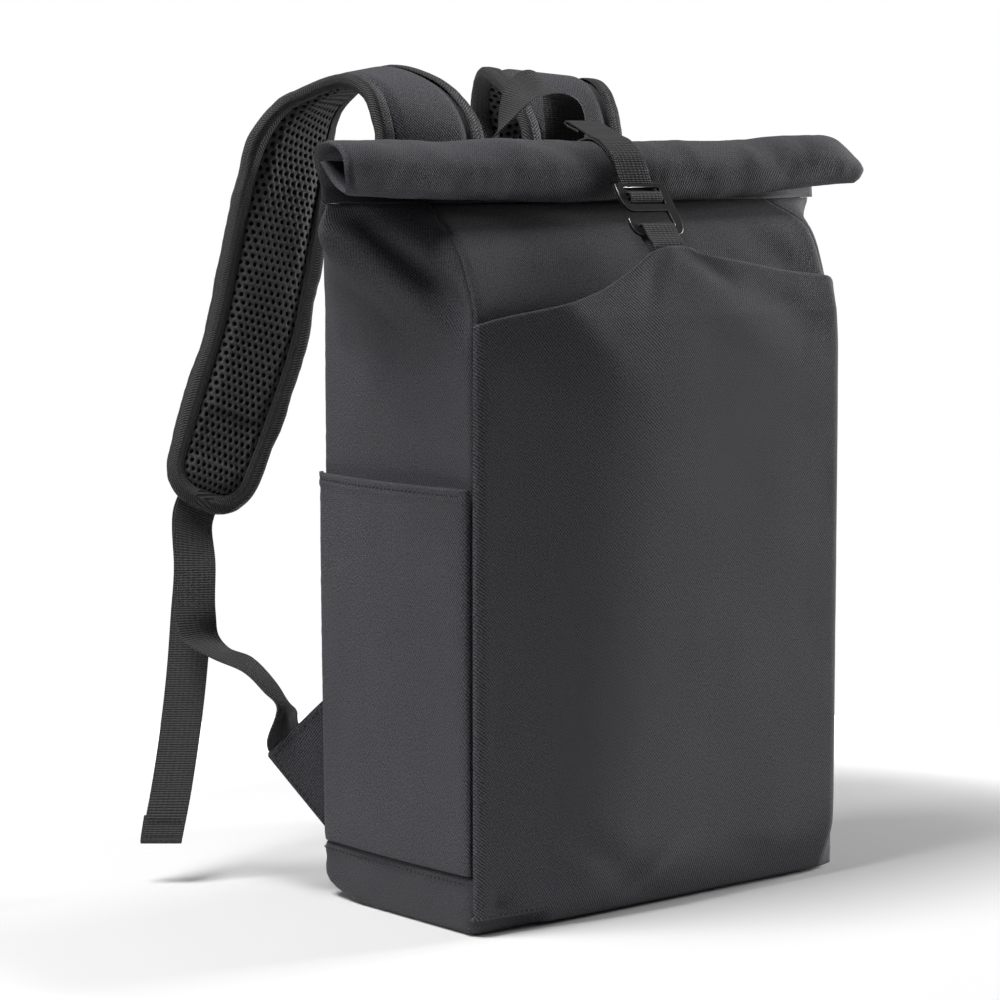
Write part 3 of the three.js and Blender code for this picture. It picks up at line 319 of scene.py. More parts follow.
def sew_on(piece, finish, slot, *nodes):
    """Gives a piece its finish, fixes it to the bag and lets it stand for its solids."""
    piece.data.materials.append(finish)
    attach(piece, "root")
    if nodes:
        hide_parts(*nodes)
    PIECES.append(piece)
    return piece


# %% [markdown]
# ## Folds
# Canvas that is filled loosely shows a few soft folds and a slow unevenness, and close to a seam it
# is drawn in and puckers a little. A table of fold lines keeps them where the photograph shows them:
# each line has two ends on the panel, a width and a depth, and a negative depth is a valley.

# %% Folds, unevenness and seams of a panel
def fold_at(x, y, fold):
    ax, ay, bx, by, wide, deep = fold
    run = Vector((bx - ax, by - ay))
    t = clamp(((x - ax) * run.x + (y - ay) * run.y) / run.length_squared)
    away = math.hypot(x - ax - run.x * t, y - ay - run.y * t)
    return deep * math.exp(-((away / wide) ** 2)) * math.sin(math.pi * (0.12 + 0.76 * t))


def slack(x, y, folds=(), seed=0.0, rough=0.8):
    """How far loosely held cloth stands out at a place on its panel."""
    slow = noise.noise(Vector((x / 55, y / 75, seed)))
    fine = noise.noise(Vector((x / 17, y / 21, seed + 5)))
    return sum(fold_at(x, y, fold) for fold in folds) + rough * (slow + 0.3 * fine)


def seam_pull(away, along, depth=1.0, seed=0.0):
    """Cloth close to a seam is drawn in, and ripples between the stitches."""
    ripple = noise.noise(Vector((along / 5, 0, seed))) * math.exp(-((away / 7) ** 2))
    return -depth * math.exp(-((away / 2.2) ** 2)) + 0.22 * ripple


# %% [markdown]
# ## Canvas
# The cloth is a dark grey polyester twill with a slight blue tint. A twill shows fine diagonal ribs,
# because each thread steps one place sideways in each row. We draw the ribs as a wave across the
# diagonal, break them up along their length into single threads, and let the same pattern drive the
# colour a little and the bump.

# %% Small helpers for node materials
def socket_or_value(tree, target, value):
    if isinstance(value, bpy.types.NodeSocket):
        tree.links.new(value, target)
    else:
        target.default_value = value


def calc(tree, operation, *values):
    """One step of arithmetic on the pattern."""
    made = tree.nodes.new("ShaderNodeMath")
    made.operation = operation
    for target, value in zip(made.inputs, values):
        socket_or_value(tree, target, value)
    return made.outputs[0]


def speckle(tree, where, scale, detail=3.0):
    """Uneven patches of the given fineness, from 0 to 1."""
    made = tree.nodes.new("ShaderNodeTexNoise")
    tree.links.new(where, made.inputs["Vector"])
    made.inputs["Scale"].default_value = scale
    made.inputs["Detail"].default_value = detail
    return made.outputs["Fac"]


def between(tree, amount, dark, light):
    """A colour between two, by an amount from 0 to 1."""
    made = tree.nodes.new("ShaderNodeMix")
    made.data_type = "RGBA"
    socket_or_value(tree, made.inputs[0], amount)
    socket_or_value(tree, made.inputs[6], dark if isinstance(dark, bpy.types.NodeSocket) else (*dark, 1))
    socket_or_value(tree, made.inputs[7], light if isinstance(light, bpy.types.NodeSocket) else (*light, 1))
    return made.outputs[2]


def new_finish(name, roughness, sheen=0.0, metallic=0.0):
    """An empty finish: its tree, its shader, and a place for its bump."""
    finish = bpy.data.materials.new(name)
    finish.use_nodes = True
    shader = finish.node_tree.nodes["Principled BSDF"]
    shader.inputs["Roughness"].default_value = roughness
    shader.inputs["Sheen Weight"].default_value = sheen
    shader.inputs["Sheen Roughness"].default_value = 0.5
    shader.inputs["Metallic"].default_value = metallic
    return finish, finish.node_tree, shader


def raise_pattern(tree, shader, height, distance, strength=1.0):
    """Lets a pattern stand up from the surface by a distance in millimetres."""
    bump = tree.nodes.new("ShaderNodeBump")
    bump.inputs["Strength"].default_value = strength
    bump.inputs["Distance"].default_value = distance * MM
    tree.links.new(height, bump.inputs["Height"])
    tree.links.new(bump.outputs[0], shader.inputs["Normal"])


def thread_map(tree):
    """The two directions of the cloth's own map, in metres, and the map itself."""
    source = tree.nodes.new("ShaderNodeUVMap")
    source.uv_map = "threads"
    parts = tree.nodes.new("ShaderNodeSeparateXYZ")
    tree.links.new(source.outputs[0], parts.inputs[0])
    return parts.outputs[0], parts.outputs[1], source.outputs[0]


def stripes(tree, across, pitch, phase=0.0):
    """Even ribs from 0 to 1, a pitch in millimetres apart."""
    turns = calc(tree, "MULTIPLY_ADD", across, 2 * math.pi / (pitch * MM), phase)
    return calc(tree, "MULTIPLY_ADD", calc(tree, "SINE", turns), 0.5, 0.5)


# %% The canvas finish
def canvas(name, dark, light, roughness=0.82, rib=1.3):
    finish, tree, shader = new_finish(name, roughness, sheen=0.03)
    u, v, where = thread_map(tree)
    wander = calc(tree, "MULTIPLY", calc(tree, "SUBTRACT", speckle(tree, where, 180, 2), 0.5), 1.6 * MM)
    slope = calc(tree, "ADD", calc(tree, "MULTIPLY", u, 0.8), calc(tree, "MULTIPLY", v, 0.6))
    ribs = stripes(tree, calc(tree, "ADD", slope, wander), rib)
    threads = stripes(tree, calc(tree, "SUBTRACT", u, calc(tree, "MULTIPLY", v, 0.5)), rib * 1.15)
    weave = calc(tree, "MULTIPLY", ribs, calc(tree, "MULTIPLY_ADD", threads, 0.6, 0.4))
    uneven = speckle(tree, where, 26)
    slubs = speckle(tree, where, 820, 3)
    amount = calc(tree, "MULTIPLY_ADD", weave, 1.3, -1.12)
    amount = calc(tree, "ADD", amount, calc(tree, "MULTIPLY", slubs, 2.0))
    amount = calc(tree, "ADD", amount, calc(tree, "MULTIPLY", uneven, 0.3))
    tree.links.new(between(tree, amount, dark, light), shader.inputs["Base Color"])
    tree.links.new(calc(tree, "MULTIPLY_ADD", uneven, 0.18, roughness - 0.09), shader.inputs["Roughness"])
    height = calc(tree, "ADD", weave, calc(tree, "MULTIPLY", slubs, 0.7))
    raise_pattern(tree, shader, height, 0.2)
    return finish


BODY_CANVAS = canvas("twill_of_the_body", (0.0035, 0.0033, 0.0042), (0.084, 0.081, 0.095))
POCKET_CANVAS = canvas("twill_of_the_pockets", (0.0035, 0.0033, 0.0042), (0.082, 0.078, 0.092))
BASE_CANVAS = canvas("twill_of_the_base", (0.003, 0.0028, 0.0036), (0.070, 0.067, 0.079))
print("canvas finishes:", BODY_CANVAS.name, POCKET_CANVAS.name, BASE_CANVAS.name)

# %% [markdown]
# ## Air mesh, tape, webbing and thread
# Spacer mesh is a knitted net with rounded diamond holes over dark foam. Binding tape and webbing
# are ribbed across their width: straight on the webbing, slanting and turned back on the tape. All
# of them follow the piece's own map, so that the pattern bends with the strap.

# %% The other soft finishes
def air_mesh(name, hole=(4.2, 3.4)):
    finish, tree, shader = new_finish(name, 0.75, sheen=0.03)
    u, v, where = thread_map(tree)
    a = calc(tree, "COSINE", calc(tree, "MULTIPLY", u, 2 * math.pi / (hole[0] * MM)))
    b = calc(tree, "COSINE", calc(tree, "MULTIPLY", v, 2 * math.pi / (hole[1] * MM)))
    net = tree.nodes.new("ShaderNodeMapRange")
    net.interpolation_type = "SMOOTHSTEP"
    net.inputs["From Min"].default_value = 0.26
    net.inputs["From Max"].default_value = 0.02
    tree.links.new(calc(tree, "MULTIPLY", a, b), net.inputs["Value"])
    strands = speckle(tree, where, 900, 2)
    knit = stripes(tree, calc(tree, "ADD", u, v), 0.6)
    lit = calc(tree, "MULTIPLY", net.outputs[0], calc(tree, "MULTIPLY_ADD", strands, 1.3, 0.1))
    tint = between(tree, lit, (0.0010, 0.0010, 0.0012), (0.052, 0.052, 0.056))
    tree.links.new(tint, shader.inputs["Base Color"])
    height = calc(tree, "ADD", net.outputs[0], calc(tree, "MULTIPLY", knit, 0.12))
    raise_pattern(tree, shader, height, 1.6)
    return finish


def ribbed(name, dark, light, pitch, slant=0.0, band=25.0, roughness=0.7, depth=0.35):
    """Ribs across a band. With a slant they turn back in each quarter of it."""
    finish, tree, shader = new_finish(name, roughness, sheen=0.03)
    u, v, where = thread_map(tree)
    folded = calc(tree, "PINGPONG", u, band / 4 * MM)
    ribs = stripes(tree, calc(tree, "ADD", v, calc(tree, "MULTIPLY", folded, slant)), pitch)
    cords = stripes(tree, u, pitch * 1.3)
    weave = calc(tree, "MULTIPLY", ribs, calc(tree, "MULTIPLY_ADD", cords, 0.4, 0.6))
    fuzz = speckle(tree, where, 700, 2)
    woven = calc(tree, "MULTIPLY", weave, 0.95)
    amount = calc(tree, "ADD", woven, calc(tree, "MULTIPLY_ADD", fuzz, 0.7, -0.3))
    tree.links.new(between(tree, amount, dark, light), shader.inputs["Base Color"])
    raise_pattern(tree, shader, calc(tree, "ADD", weave, calc(tree, "MULTIPLY", fuzz, 0.4)), depth)
    return finish


def hard_finish(name, dark, light, roughness, metallic=0.0, grain=900, depth=0.05):
    finish, tree, shader = new_finish(name, roughness, metallic=metallic)
    place = tree.nodes.new("ShaderNodeTexCoord").outputs["Object"]
    patches = speckle(tree, place, grain, 4)
    tree.links.new(between(tree, patches, dark, light), shader.inputs["Base Color"])
    tree.links.new(calc(tree, "MULTIPLY_ADD", patches, 0.2, roughness - 0.1), shader.inputs["Roughness"])
    raise_pattern(tree, shader, patches, depth, 0.5)
    return finish


AIR_MESH = air_mesh("knitted_air_mesh")
TAPE = ribbed(
    "ribbed_tape", (0.001, 0.001, 0.0012), (0.050, 0.050, 0.053), 1.6, slant=0.8, band=26, depth=0.6
)
WEBBING = ribbed("ribbed_webbing", (0.0008, 0.0008, 0.0008), (0.047, 0.047, 0.0475), 1.4, depth=0.45)
NET = ribbed("net_strands", (0.005, 0.005, 0.0055), (0.058, 0.058, 0.062), 0.7, slant=0.6, band=3, depth=0.15)
FOAM = hard_finish(
    "black_foam", (0.0012, 0.0012, 0.0014), (0.004, 0.004, 0.0045), 0.95, grain=1200, depth=0.3
)


def thread_finish(name, colour):
    finish, tree, shader = new_finish(name, 0.55)
    place = tree.nodes.new("ShaderNodeTexCoord").outputs["Object"]
    twist = speckle(tree, place, 2500, 2)
    light = tuple(value * 2.2 for value in colour)
    tree.links.new(between(tree, twist, colour, light), shader.inputs["Base Color"])
    raise_pattern(tree, shader, twist, 0.08)
    return finish


# Partly painted shade: the seam thread is near black, far darker than the canvas, so that each row of
# stitches also shows the shade of the groove it sinks into.
THREAD_AND_SHADE = thread_finish("seam_thread_and_shade", (0.0035, 0.0035, 0.004))
BLACK_THREAD = thread_finish("heavy_thread", (0.0025, 0.0025, 0.0025))
print("soft finishes:", AIR_MESH.name, TAPE.name, WEBBING.name, THREAD_AND_SHADE.name)


# %% [markdown]
# ## Hard finishes
# The hook is cast zinc under black paint that has worn to bright metal on its edges. The ladder
# locks are black moulded plastic with a faint satin grain. The worn edge is its own finish, given
# to the narrow bevel faces.

# %% Paint, worn edge and plastic
BLACK_PAINT = hard_finish("black_paint", (0.006, 0.006, 0.0065), (0.022, 0.022, 0.023), 0.40, metallic=0.2)
WORN_EDGE = hard_finish(
    "worn_metal_edge", (0.03, 0.03, 0.03), (0.42, 0.41, 0.40), 0.42, metallic=0.8, grain=420
)
PLASTIC = hard_finish("moulded_black", (0.006, 0.006, 0.0065), (0.014, 0.014, 0.015), 0.40)
print("hard finishes:", BLACK_PAINT.name, WORN_EDGE.name, PLASTIC.name)

# %% [markdown]
# ## Stitches
# A lockstitch seam is a row of short raised threads, each about 2.5 mm long with a small gap where
# the needle went in. One row is one mesh of many tiny rounded grains, each laid along the seam.

# %% Rows of stitches
def steps_along(points, pitch):
    """Places a pitch apart along a line of points, each with its direction."""
    places, left = [], pitch / 2
    for a, b in zip(points, points[1:]):
        run = b - a
        length = run.length
        while left < length:
            places.append((a + run * (left / length), run.normalized()))
            left += pitch
        left -= length
    return places


def stitches(name, lines, finish, slot, pitch=3.6, length=2.6, thick=1.0):
    """One piece that holds every stitch of several seam lines. A line is points and a direction out."""
    mesh = bmesh.new()
    count = 0
    for points, out in lines:
        for middle, along in steps_along(points, pitch):
            side = along.cross(out).normalized()
            up = side.cross(along)
            turn = Matrix((along, side, up)).transposed().to_4x4()
            grow = Matrix.Diagonal((length / 2 * MM, thick / 2 * MM, thick / 2 * MM, 1))
            spot = Matrix.Translation(raised(middle))
            bmesh.ops.create_icosphere(mesh, subdivisions=1, radius=1, matrix=spot @ turn @ grow)
            count += 1
    piece = as_object(name, mesh)
    sew_on(piece, finish, slot)
    print(name, "has", count, "stitches")
    return piece


# %% [markdown]
# ## The four walls
# The front and the two sides are plain canvas, and the back is a foam panel under air mesh. Each wall
# is one grid from seam to seam. The sides carry the slack that is left when the collar is rolled down:
# a long valley runs from under the roll to the front seam.

# %% Walls of the body
WALL_FOLDS = {
    "front": [(60, 395, 20, 350, 14, -1.6), (230, 398, 275, 350, 14, -1.6)],
    "right": [(70, 402, 12, 345, 10, -3.0), (90, 385, 140, 360, 13, -1.5)],
    "back": [],
    "left": [
        (92, 414, 144, 346, 9, -8.0), (84, 392, 132, 334, 12, 2.6), (20, 398, 66, 352, 10, 1.6),
        (34, 392, 92, 340, 7, -1.6), (12, 385, 30, 330, 14, 1.8), (30, 300, 120, 330, 24, 1.2),
    ],
}
WALL_SIZES = {"front": (290, 130), "right": (148, 80), "back": (290, 120), "left": (148, 80)}
WALL_FOOT = BASE_HEIGHT + SEW_GAP


def wall_place(wall):
    wide = WALL_SIZES[wall][0]
    rough = 0.5 if wall == "back" else 0.9
    seed = 3.0 * len(wall)

    def place(u, v):
        height = lerp(WALL_FOOT, BODY_HEIGHT, v)
        edge = min(u, 1 - u) * wide
        calm = smooth(edge, 0, 9) * smooth(BODY_HEIGHT - height, 0, 9) * smooth(height - WALL_FOOT, 0, 20)
        relief = slack(u * wide, height, WALL_FOLDS[wall], seed, rough) * calm
        pull = seam_pull(edge, height, 0.8, seed) + seam_pull(height - WALL_FOOT, u * wide, 0.7, seed)
        return on_wall(wall, u, height, relief + pull - 0.2)

    return place


def wall_piece(name, wall, thickness, finish, slot, node):
    wide, columns = WALL_SIZES[wall]
    tall = BODY_HEIGHT - WALL_FOOT
    piece = cloth(name, columns, 132, wall_place(wall), (wide, tall))
    thicken(piece, thickness)
    return sew_on(piece, finish, slot, node)


wall_piece("front_canvas", "front", CLOTH * 0.9, BODY_CANVAS, "body_canvas", "front_panel")
wall_piece("left_canvas", "left", CLOTH * 0.9, BODY_CANVAS, "body_canvas", "side_panel_left")
wall_piece("right_canvas", "right", CLOTH * 0.9, BODY_CANVAS, "body_canvas", "side_panel_right")
back_pad = wall_piece("back_pad", "back", BACK_PAD * 0.9, AIR_MESH, "air_mesh", "back_panel")
print("walls:", [piece.name for piece in PIECES])

# %% [markdown]
# ## The base
# The base is a shallow tray of doubled cloth, joined to the walls by a seam about 30 mm up. It is
# one grid that is wrapped round the outline, turned under at the floor and closed in the middle.

# %% Base tray with its topstitching
def outline(share, height):
    """A place on the whole outline, from the middle of the back round the bag."""
    walls = ["back", "left", "front", "right"]
    starts = [0.5, 1.0, 1.0, 1.0, 0.5]
    lengths = [wall_line("back", 0)[1][-1] / 2] + [wall_line(w, 0)[1][-1] for w in walls[1:]]
    lengths.append(lengths[0])
    target = share * sum(lengths)
    for k, length in enumerate(lengths):
        if target <= length or k == 4:
            break
        target -= length
    along = clamp(target / length)
    wall = (walls + ["back"])[k]
    part = along / 2 + 0.5 if k == 0 else along / 2 if k == 4 else along * starts[k]
    return on_wall(wall, part, max(height, 0))


def base_place(u, v):
    band, turn = 0.4, 0.55
    spot = outline(u, 0)
    at_back = smooth(abs(spot.x), 108, 145) * smooth(spot.y, 36, 72)
    bend = BASE_ROUND + 11 * at_back
    if v <= band:
        height, inset = lerp(BASE_HEIGHT, bend - BASE_SAG, v / band), 0.0
    elif v <= turn:
        angle = (v - band) / (turn - band) * math.pi / 2
        height = bend * (1 - math.sin(angle)) - BASE_SAG
        inset = bend * (1 - math.cos(angle))
    else:
        height, inset = -BASE_SAG, bend
    point = outline(u, height)
    shrink = Vector((1 - inset / (BODY_WIDTH / 2), 1 - inset / (BODY_DEPTH / 2)))
    close = 1 - clamp((v - turn) / (1 - turn))
    relief = 0.5 * noise.noise(Vector((u * 30, v * 6, 2))) * (1 if v < band else 0)
    relief += 0.5 - 1.1 * math.exp(-(((BASE_HEIGHT - height) / 1.8) ** 2)) if v <= band else 0.5 * close
    grow = 1 + relief / 90
    return Vector((point.x * shrink.x * close * grow, point.y * shrink.y * close * grow, height))


base_tray = cloth("base_tray", 240, 36, base_place, (870, 110), wrap=True)
thicken(base_tray, BASE_CLOTH * 0.8, offset=1.0)
sew_on(base_tray, BASE_CANVAS, "base_canvas", "base_panel")


def base_stitch_line(drop):
    points = [outline(k / 240, BASE_HEIGHT - drop) * 1.0 for k in range(241)]
    for point in points:
        point.z = BASE_HEIGHT - drop
    return [Vector((p.x * 1.009, p.y * 1.012, p.z)) for p in points]


base_line = base_stitch_line(4.5)
base_runs = [
    ([a, b], Vector((a.x / 145, a.y / 72, 0)).normalized())
    for a, b in zip(base_line, base_line[1:])
]
stitches("base_topstitch", base_runs, THREAD_AND_SHADE, "base_canvas")

# %% [markdown]
# ## The front pocket
# One large panel covers the front. It is sewn in at the side seams and the foot, and its mouth climbs
# from both sides to a peak under the hook. Cloth pulled up to that peak stands in a ridge: it runs
# from the peak to the left, then straight down to the foot, with a darker flank beside it. Its lower
# left corner is tucked in under a short row of stitches.

# %% Front pocket with its ridge and folds
RIDGE = table("at x turn", [
    (0, -62, 30), (60, -54, 40), (150, -45, 54), (240, -41, 56), (290, -42, 50), (308, -45, 38),
    (323, -54, 26), (337, -70, 20), (355, -86, 14), (372, -104, 12), (390, -118, 12),
])
RIDGE_RISE = 14.5
POCKET_FOLDS = [
    (152, 386, 190, 366, 6, -1.5),
    (186, 370, 262, 338, 10, -1.1),
    (150, 372, 240, 318, 16, 0.8),
    (136, 380, 118, 350, 7, -0.7),
    (66, 46, 128, 6, 9, -1.8),
    (140, 34, 96, 2, 8, 1.3),
    (170, 30, 236, 12, 10, -1.2),
    (220, 20, 284, 26, 12, -1.0),
    (20, 330, 70, 300, 20, -0.8),
]


def flank_rise(x, height):
    """The left part of the pocket climbs evenly to the ridge, and there turns flat in a wide bend."""
    crest = column(RIDGE, "x", height)
    turn = column(RIDGE, "turn", height)
    start = -BODY_WIDTH / 2 + 7
    reach = crest - start
    if x <= crest - turn / 2:
        climbed = max(x - start, 0)
    elif x >= crest + turn / 2:
        climbed = reach
    else:
        climbed = reach - (crest + turn / 2 - x) ** 2 / (2 * turn)
    return RIDGE_RISE * climbed / max(reach, 60)


def pocket_point(u, v, depth):
    """The pocket's plain form: at the seams it lies on the front wall, and between them it swells."""
    height = lerp(POCKET_FOOT, column(MOUTH, "height", u), v)
    behind = on_wall("front", u, height)
    across = 4 * u * (1 - u)
    clearance = 1.6 * SEW_GAP
    swell = POCKET_SWELL * across ** 0.6 * smooth(v, 0, 0.1) * (1 - 0.25 * v)
    forward = max(-behind.y + clearance, BODY_DEPTH / 2 - CLOTH - 0.5 + swell)
    seam = smooth(min(u, 1 - u), 0, 0.02)
    y = lerp(-behind.y + clearance, forward, seam) + depth
    spread = (u - 0.5) * 2 * (clearance + depth) * (1 - seam)
    return Vector((behind.x + spread, -y, height))


def pocket_place(u, v, out=0.0):
    point = pocket_point(u, v, CLOTH)
    plain = -point.y
    foot = smooth(v, -0.03, 0.09)
    top = 1 - 0.30 * smooth(point.z, 320, 388)
    forward = BODY_DEPTH / 2 + 0.6 + flank_rise(point.x, point.z) * foot * top
    seam = smooth(u, 0.0, 0.035) * smooth(1 - u, 0.0, 0.055)
    edge = min(u, 1 - u) * BODY_WIDTH
    calm = smooth(edge, 0, 16) * smooth(v, 0, 0.03)
    relief = slack(u * BODY_WIDTH, point.z, POCKET_FOLDS, 11.0, 0.4) * calm
    pull = seam_pull(edge, point.z, 0.5, 4.0)
    corner = smooth(0.18 - u, 0.0, 0.04)
    tucked = corner * smooth(TUCK_HEIGHT - point.z, 0, 2.0)
    lip = corner * math.exp(-(((point.z - TUCK_HEIGHT - 2.5) / 2.2) ** 2))
    dimple = math.exp(-((point.x + 128) / 7) ** 2 - ((point.z - 17) / 8) ** 2)
    point.y = -lerp(plain, forward, seam) - relief - pull - out + 4.5 * tucked - 1.2 * lip + 2.2 * dimple
    return point


TUCK_HEIGHT = 7.0
front_pocket = cloth("front_pocket_canvas", 126, 196, pocket_place, (294, 385))
thicken(front_pocket, CLOTH * 0.9)
sew_on(front_pocket, POCKET_CANVAS, "pocket_canvas", "front_pocket")
tuck_row = (TUCK_HEIGHT + 1.2 - POCKET_FOOT) / (column(MOUTH, "height", 0.08) - POCKET_FOOT)
tuck_line = [pocket_place(lerp(0.012, 0.17, k / 20), tuck_row, 0.2) for k in range(21)]
stitches("pocket_tuck_seam", [(tuck_line, Vector((0, -1, 0)))], THREAD_AND_SHADE, "pocket_canvas")
print("pocket stands", round(-pocket_place(0.5, 0.5).y - BODY_DEPTH / 2, 1), "mm proud")

# %% [markdown]
# ## The side pockets
# A flat pocket lies on the lower part of each side, sewn into the corner seams and the base seam.
# Its mouth is a folded hem with one row of stitches, and it stands a little off the side.

# %% Side pockets with hems
def side_pocket_place(wall, out=0.0):
    seed = 20.0 + len(wall)

    def place(u, v):
        share = lerp(0.012, 0.988, u)
        height = lerp(WALL_FOOT, SIDE_POCKET_TOP, v)
        edge = min(u, 1 - u) * 145
        bulge = math.sin(math.pi * u) ** 0.4 if 0 < u < 1 else 0
        swell = SIDE_POCKET_ROOM * bulge * smooth(height / SIDE_POCKET_TOP, -0.1, 0.9)
        hem = 0.55 * smooth(height, SIDE_POCKET_TOP - 9.5, SIDE_POCKET_TOP - 8.5)
        stitch = -0.4 * math.exp(-(((height - SIDE_POCKET_TOP + 4) / 0.9) ** 2))
        calm = smooth(edge, 0, 16) * smooth(height - WALL_FOOT, 0, 20)
        relief = slack(u * 145, height, [(30, 90, 100, 130, 26, 1.0)], seed, 0.8) * calm
        pull = seam_pull(edge, height, 0.5, seed) + seam_pull(height - WALL_FOOT, u * 145, 0.6, seed)
        lift = SEW_GAP + swell + SIDE_POCKET_CLOTH + hem + stitch + relief + pull + out
        return on_wall(wall, share, height, lift)

    return place


for side in ("left", "right"):
    pocket = cloth(f"side_pocket_canvas_{side}", 68, 118, side_pocket_place(side), (145, 222))
    thicken(pocket, SIDE_POCKET_CLOTH * 0.85)
    sew_on(pocket, POCKET_CANVAS, "pocket_canvas", f"side_pocket_{side}")
    at = side_pocket_place(side, 0.15)
    hem_height = (SIDE_POCKET_TOP - 4 - WALL_FOOT) / (SIDE_POCKET_TOP - WALL_FOOT)
    hem_line = [at(lerp(0.03, 0.97, k / 60), hem_height) for k in range(61)]
    outward = Vector((-1 if side == "left" else 1, 0, 0))
    stitches(f"side_pocket_hem_{side}", [(hem_line, outward)], THREAD_AND_SHADE, "pocket_canvas")

# %% [markdown]
# ## The rolled collar
# Above the seam the bag is one flattened tube of cloth. It is folded over towards the back and rolled
# forward into a fat roll, whose ends show the turns of cloth as a loose spiral. The same tube is
# followed here: its loops climb the neck and then travel along the roll's winding line.

# %% Winding line of the roll
ROLL_SECTIONS = table("at back down swell left right", [
    (0.00, 0.76, 0.68, 0.0, 0.920, 0.920),
    (0.10, 0.62, 0.34, 0.2, 0.955, 0.950),
    (0.20, 0.36, 0.09, 0.5, 0.985, 0.980),
    (0.30, 0.00, 0.00, 1.0, 1.000, 0.985),
    (0.42, -0.34, 0.12, 1.0, 1.000, 0.950),
    (0.53, -0.50, 0.38, 1.0, 1.000, 0.925),
    (0.62, -0.46, 0.66, 1.0, 0.990, 0.920),
    (0.70, -0.32, 0.78, 1.0, 0.980, 0.930),
    (0.78, -0.15, 0.70, 1.0, 0.980, 0.960),
    (0.89, 0.08, 0.50, 1.0, 0.980, 0.990),
    (1.00, 0.28, 0.32, 1.0, 0.980, 0.990),
])
ROLL_TOP = Vector((-24.5, 446.5))
ROLL_LIFT = 4
ROLL_DROOP = 0.22
ROLL_STEPS = 19
ROLL_TIP = 0.80


def roll_point(share, across):
    """A place on the winding line: front to back, and up."""
    swell = column(ROLL_SECTIONS, "swell", share)
    depth = 1 + ROLL_DROOP * swell * (1 - across * across)
    back = ROLL_TOP.x + ROLL_SIZE * column(ROLL_SECTIONS, "back", share)
    down = ROLL_SIZE * column(ROLL_SECTIONS, "down", share) * depth
    return Vector((back, ROLL_TOP.y - down + ROLL_LIFT * smooth(across, 0.3, 0.9)))


def roll_normal(share, across):
    ahead = roll_point(clamp(share + 0.01), across)
    along = (ahead - roll_point(clamp(share - 0.01), across)).normalized()
    return Vector((along.y, -along.x))


# %% The collar itself
COLLAR_FOLDS = [
    (-150, 0.30, -95, 0.52, 9, 1.5),
    (-105, 0.28, -60, 0.50, 8, -1.3),
    (-60, 0.34, -25, 0.55, 7, 0.9),
    (40, 0.30, 70, 0.55, 9, -1.0),
    (95, 0.30, 130, 0.52, 9, 1.2),
    (150, 0.36, 178, 0.55, 8, -1.0),
    (-205, 0.40, -170, 0.50, 8, -1.2),
]
COLLAR_HALF = COLLAR_SLIT / 2 + COLLAR_CLOTH
NECK_SHARE = 0.12


def collar_section(u):
    """Where a place on the tube's loop lies: across the bag, and on which of its two layers."""
    turn = (u * 2) % 2
    side = -1 if turn < 1 else 1
    across = -1 + 2 * turn if turn < 1 else 3 - 2 * turn
    edge = (1 - abs(across)) * COLLAR_WIDTH / 2
    return across, side * math.sqrt(clamp(1 - (1 - clamp(edge / 2.6)) ** 2))


def seam_y(x, side):
    """The top seam of the body, front or back, at a place across the bag."""
    ring = [p for p in body_ring(int(BODY_HEIGHT / RING_STEP)) if (p.y - 0.6) * side >= 0]
    ring = sorted(ring, key=lambda p: p.x)
    for a, b in zip(ring, ring[1:]):
        if a.x <= x <= b.x:
            return lerp(a.y, b.y, (x - a.x) / max(b.x - a.x, 1e-6))
    return 0.6


def collar_place(u, v):
    across, layer = collar_section(u)
    share = clamp((v - NECK_SHARE) / (1 - NECK_SHARE))
    rise = clamp(v / NECK_SHARE)
    middle, normal = roll_point(share, across), roll_normal(share, across)
    tip = smooth(across, ROLL_TIP, 1.02) * smooth(share, 0.05, 0.3)
    middle.y -= tip * tip * 0.62 * max(middle.y - ROLL_TOP.y + 24, 0)
    pressed = 1.6 * math.exp(-((((across * COLLAR_WIDTH / 2) + 3) / 17) ** 2)) * smooth(share, 0.1, 0.3)
    reach = column(ROLL_SECTIONS, "left" if across < 0 else "right", share) * COLLAR_WIDTH / 2
    x = across * reach
    calm = smooth(rise, 0.6, 1) * smooth(1 - share, 0, 0.1)
    folds = [(f[0], f[1] * 100, f[2], f[3] * 100, f[4], f[5]) for f in COLLAR_FOLDS]
    relief = sum(fold_at(x, share * 100, fold) for fold in folds)
    slow = 0.9 * noise.noise(Vector((x / 24, share * 5, 1)))
    relief += slow + 0.35 * noise.noise(Vector((x / 8, share * 9, 8)))
    lift = layer * COLLAR_HALF - relief * calm - pressed * calm
    flat = Vector((x, middle.x + normal.x * lift, middle.y + normal.y * lift))
    if rise >= 1:
        return flat
    start_x = across * 196.3
    low = Vector((start_x, seam_y(start_x, 1 if layer > 0 else -1), BODY_HEIGHT + SEW_GAP))
    return low.lerp(flat, rise)


roll_collar = cloth("rolled_collar", 240, 86, collar_place, (856, 150), wrap=True)
thicken(roll_collar, COLLAR_CLOTH * 0.85)
sew_on(roll_collar, BODY_CANVAS, "body_canvas", "roll_collar")
print("roll spans", round(roll_collar.dimensions.x * 1000), "mm")

# %% [markdown]
# ## Webbing
# All the webbing is one 25 mm ribbed band. It is laid along its path as a narrow grid: the path is
# drawn smoothly through its turning points, and at each step the band's width has its own direction,
# so that it can twist. Solidify gives it 1.2 mm, and one subdivision rounds its edges.

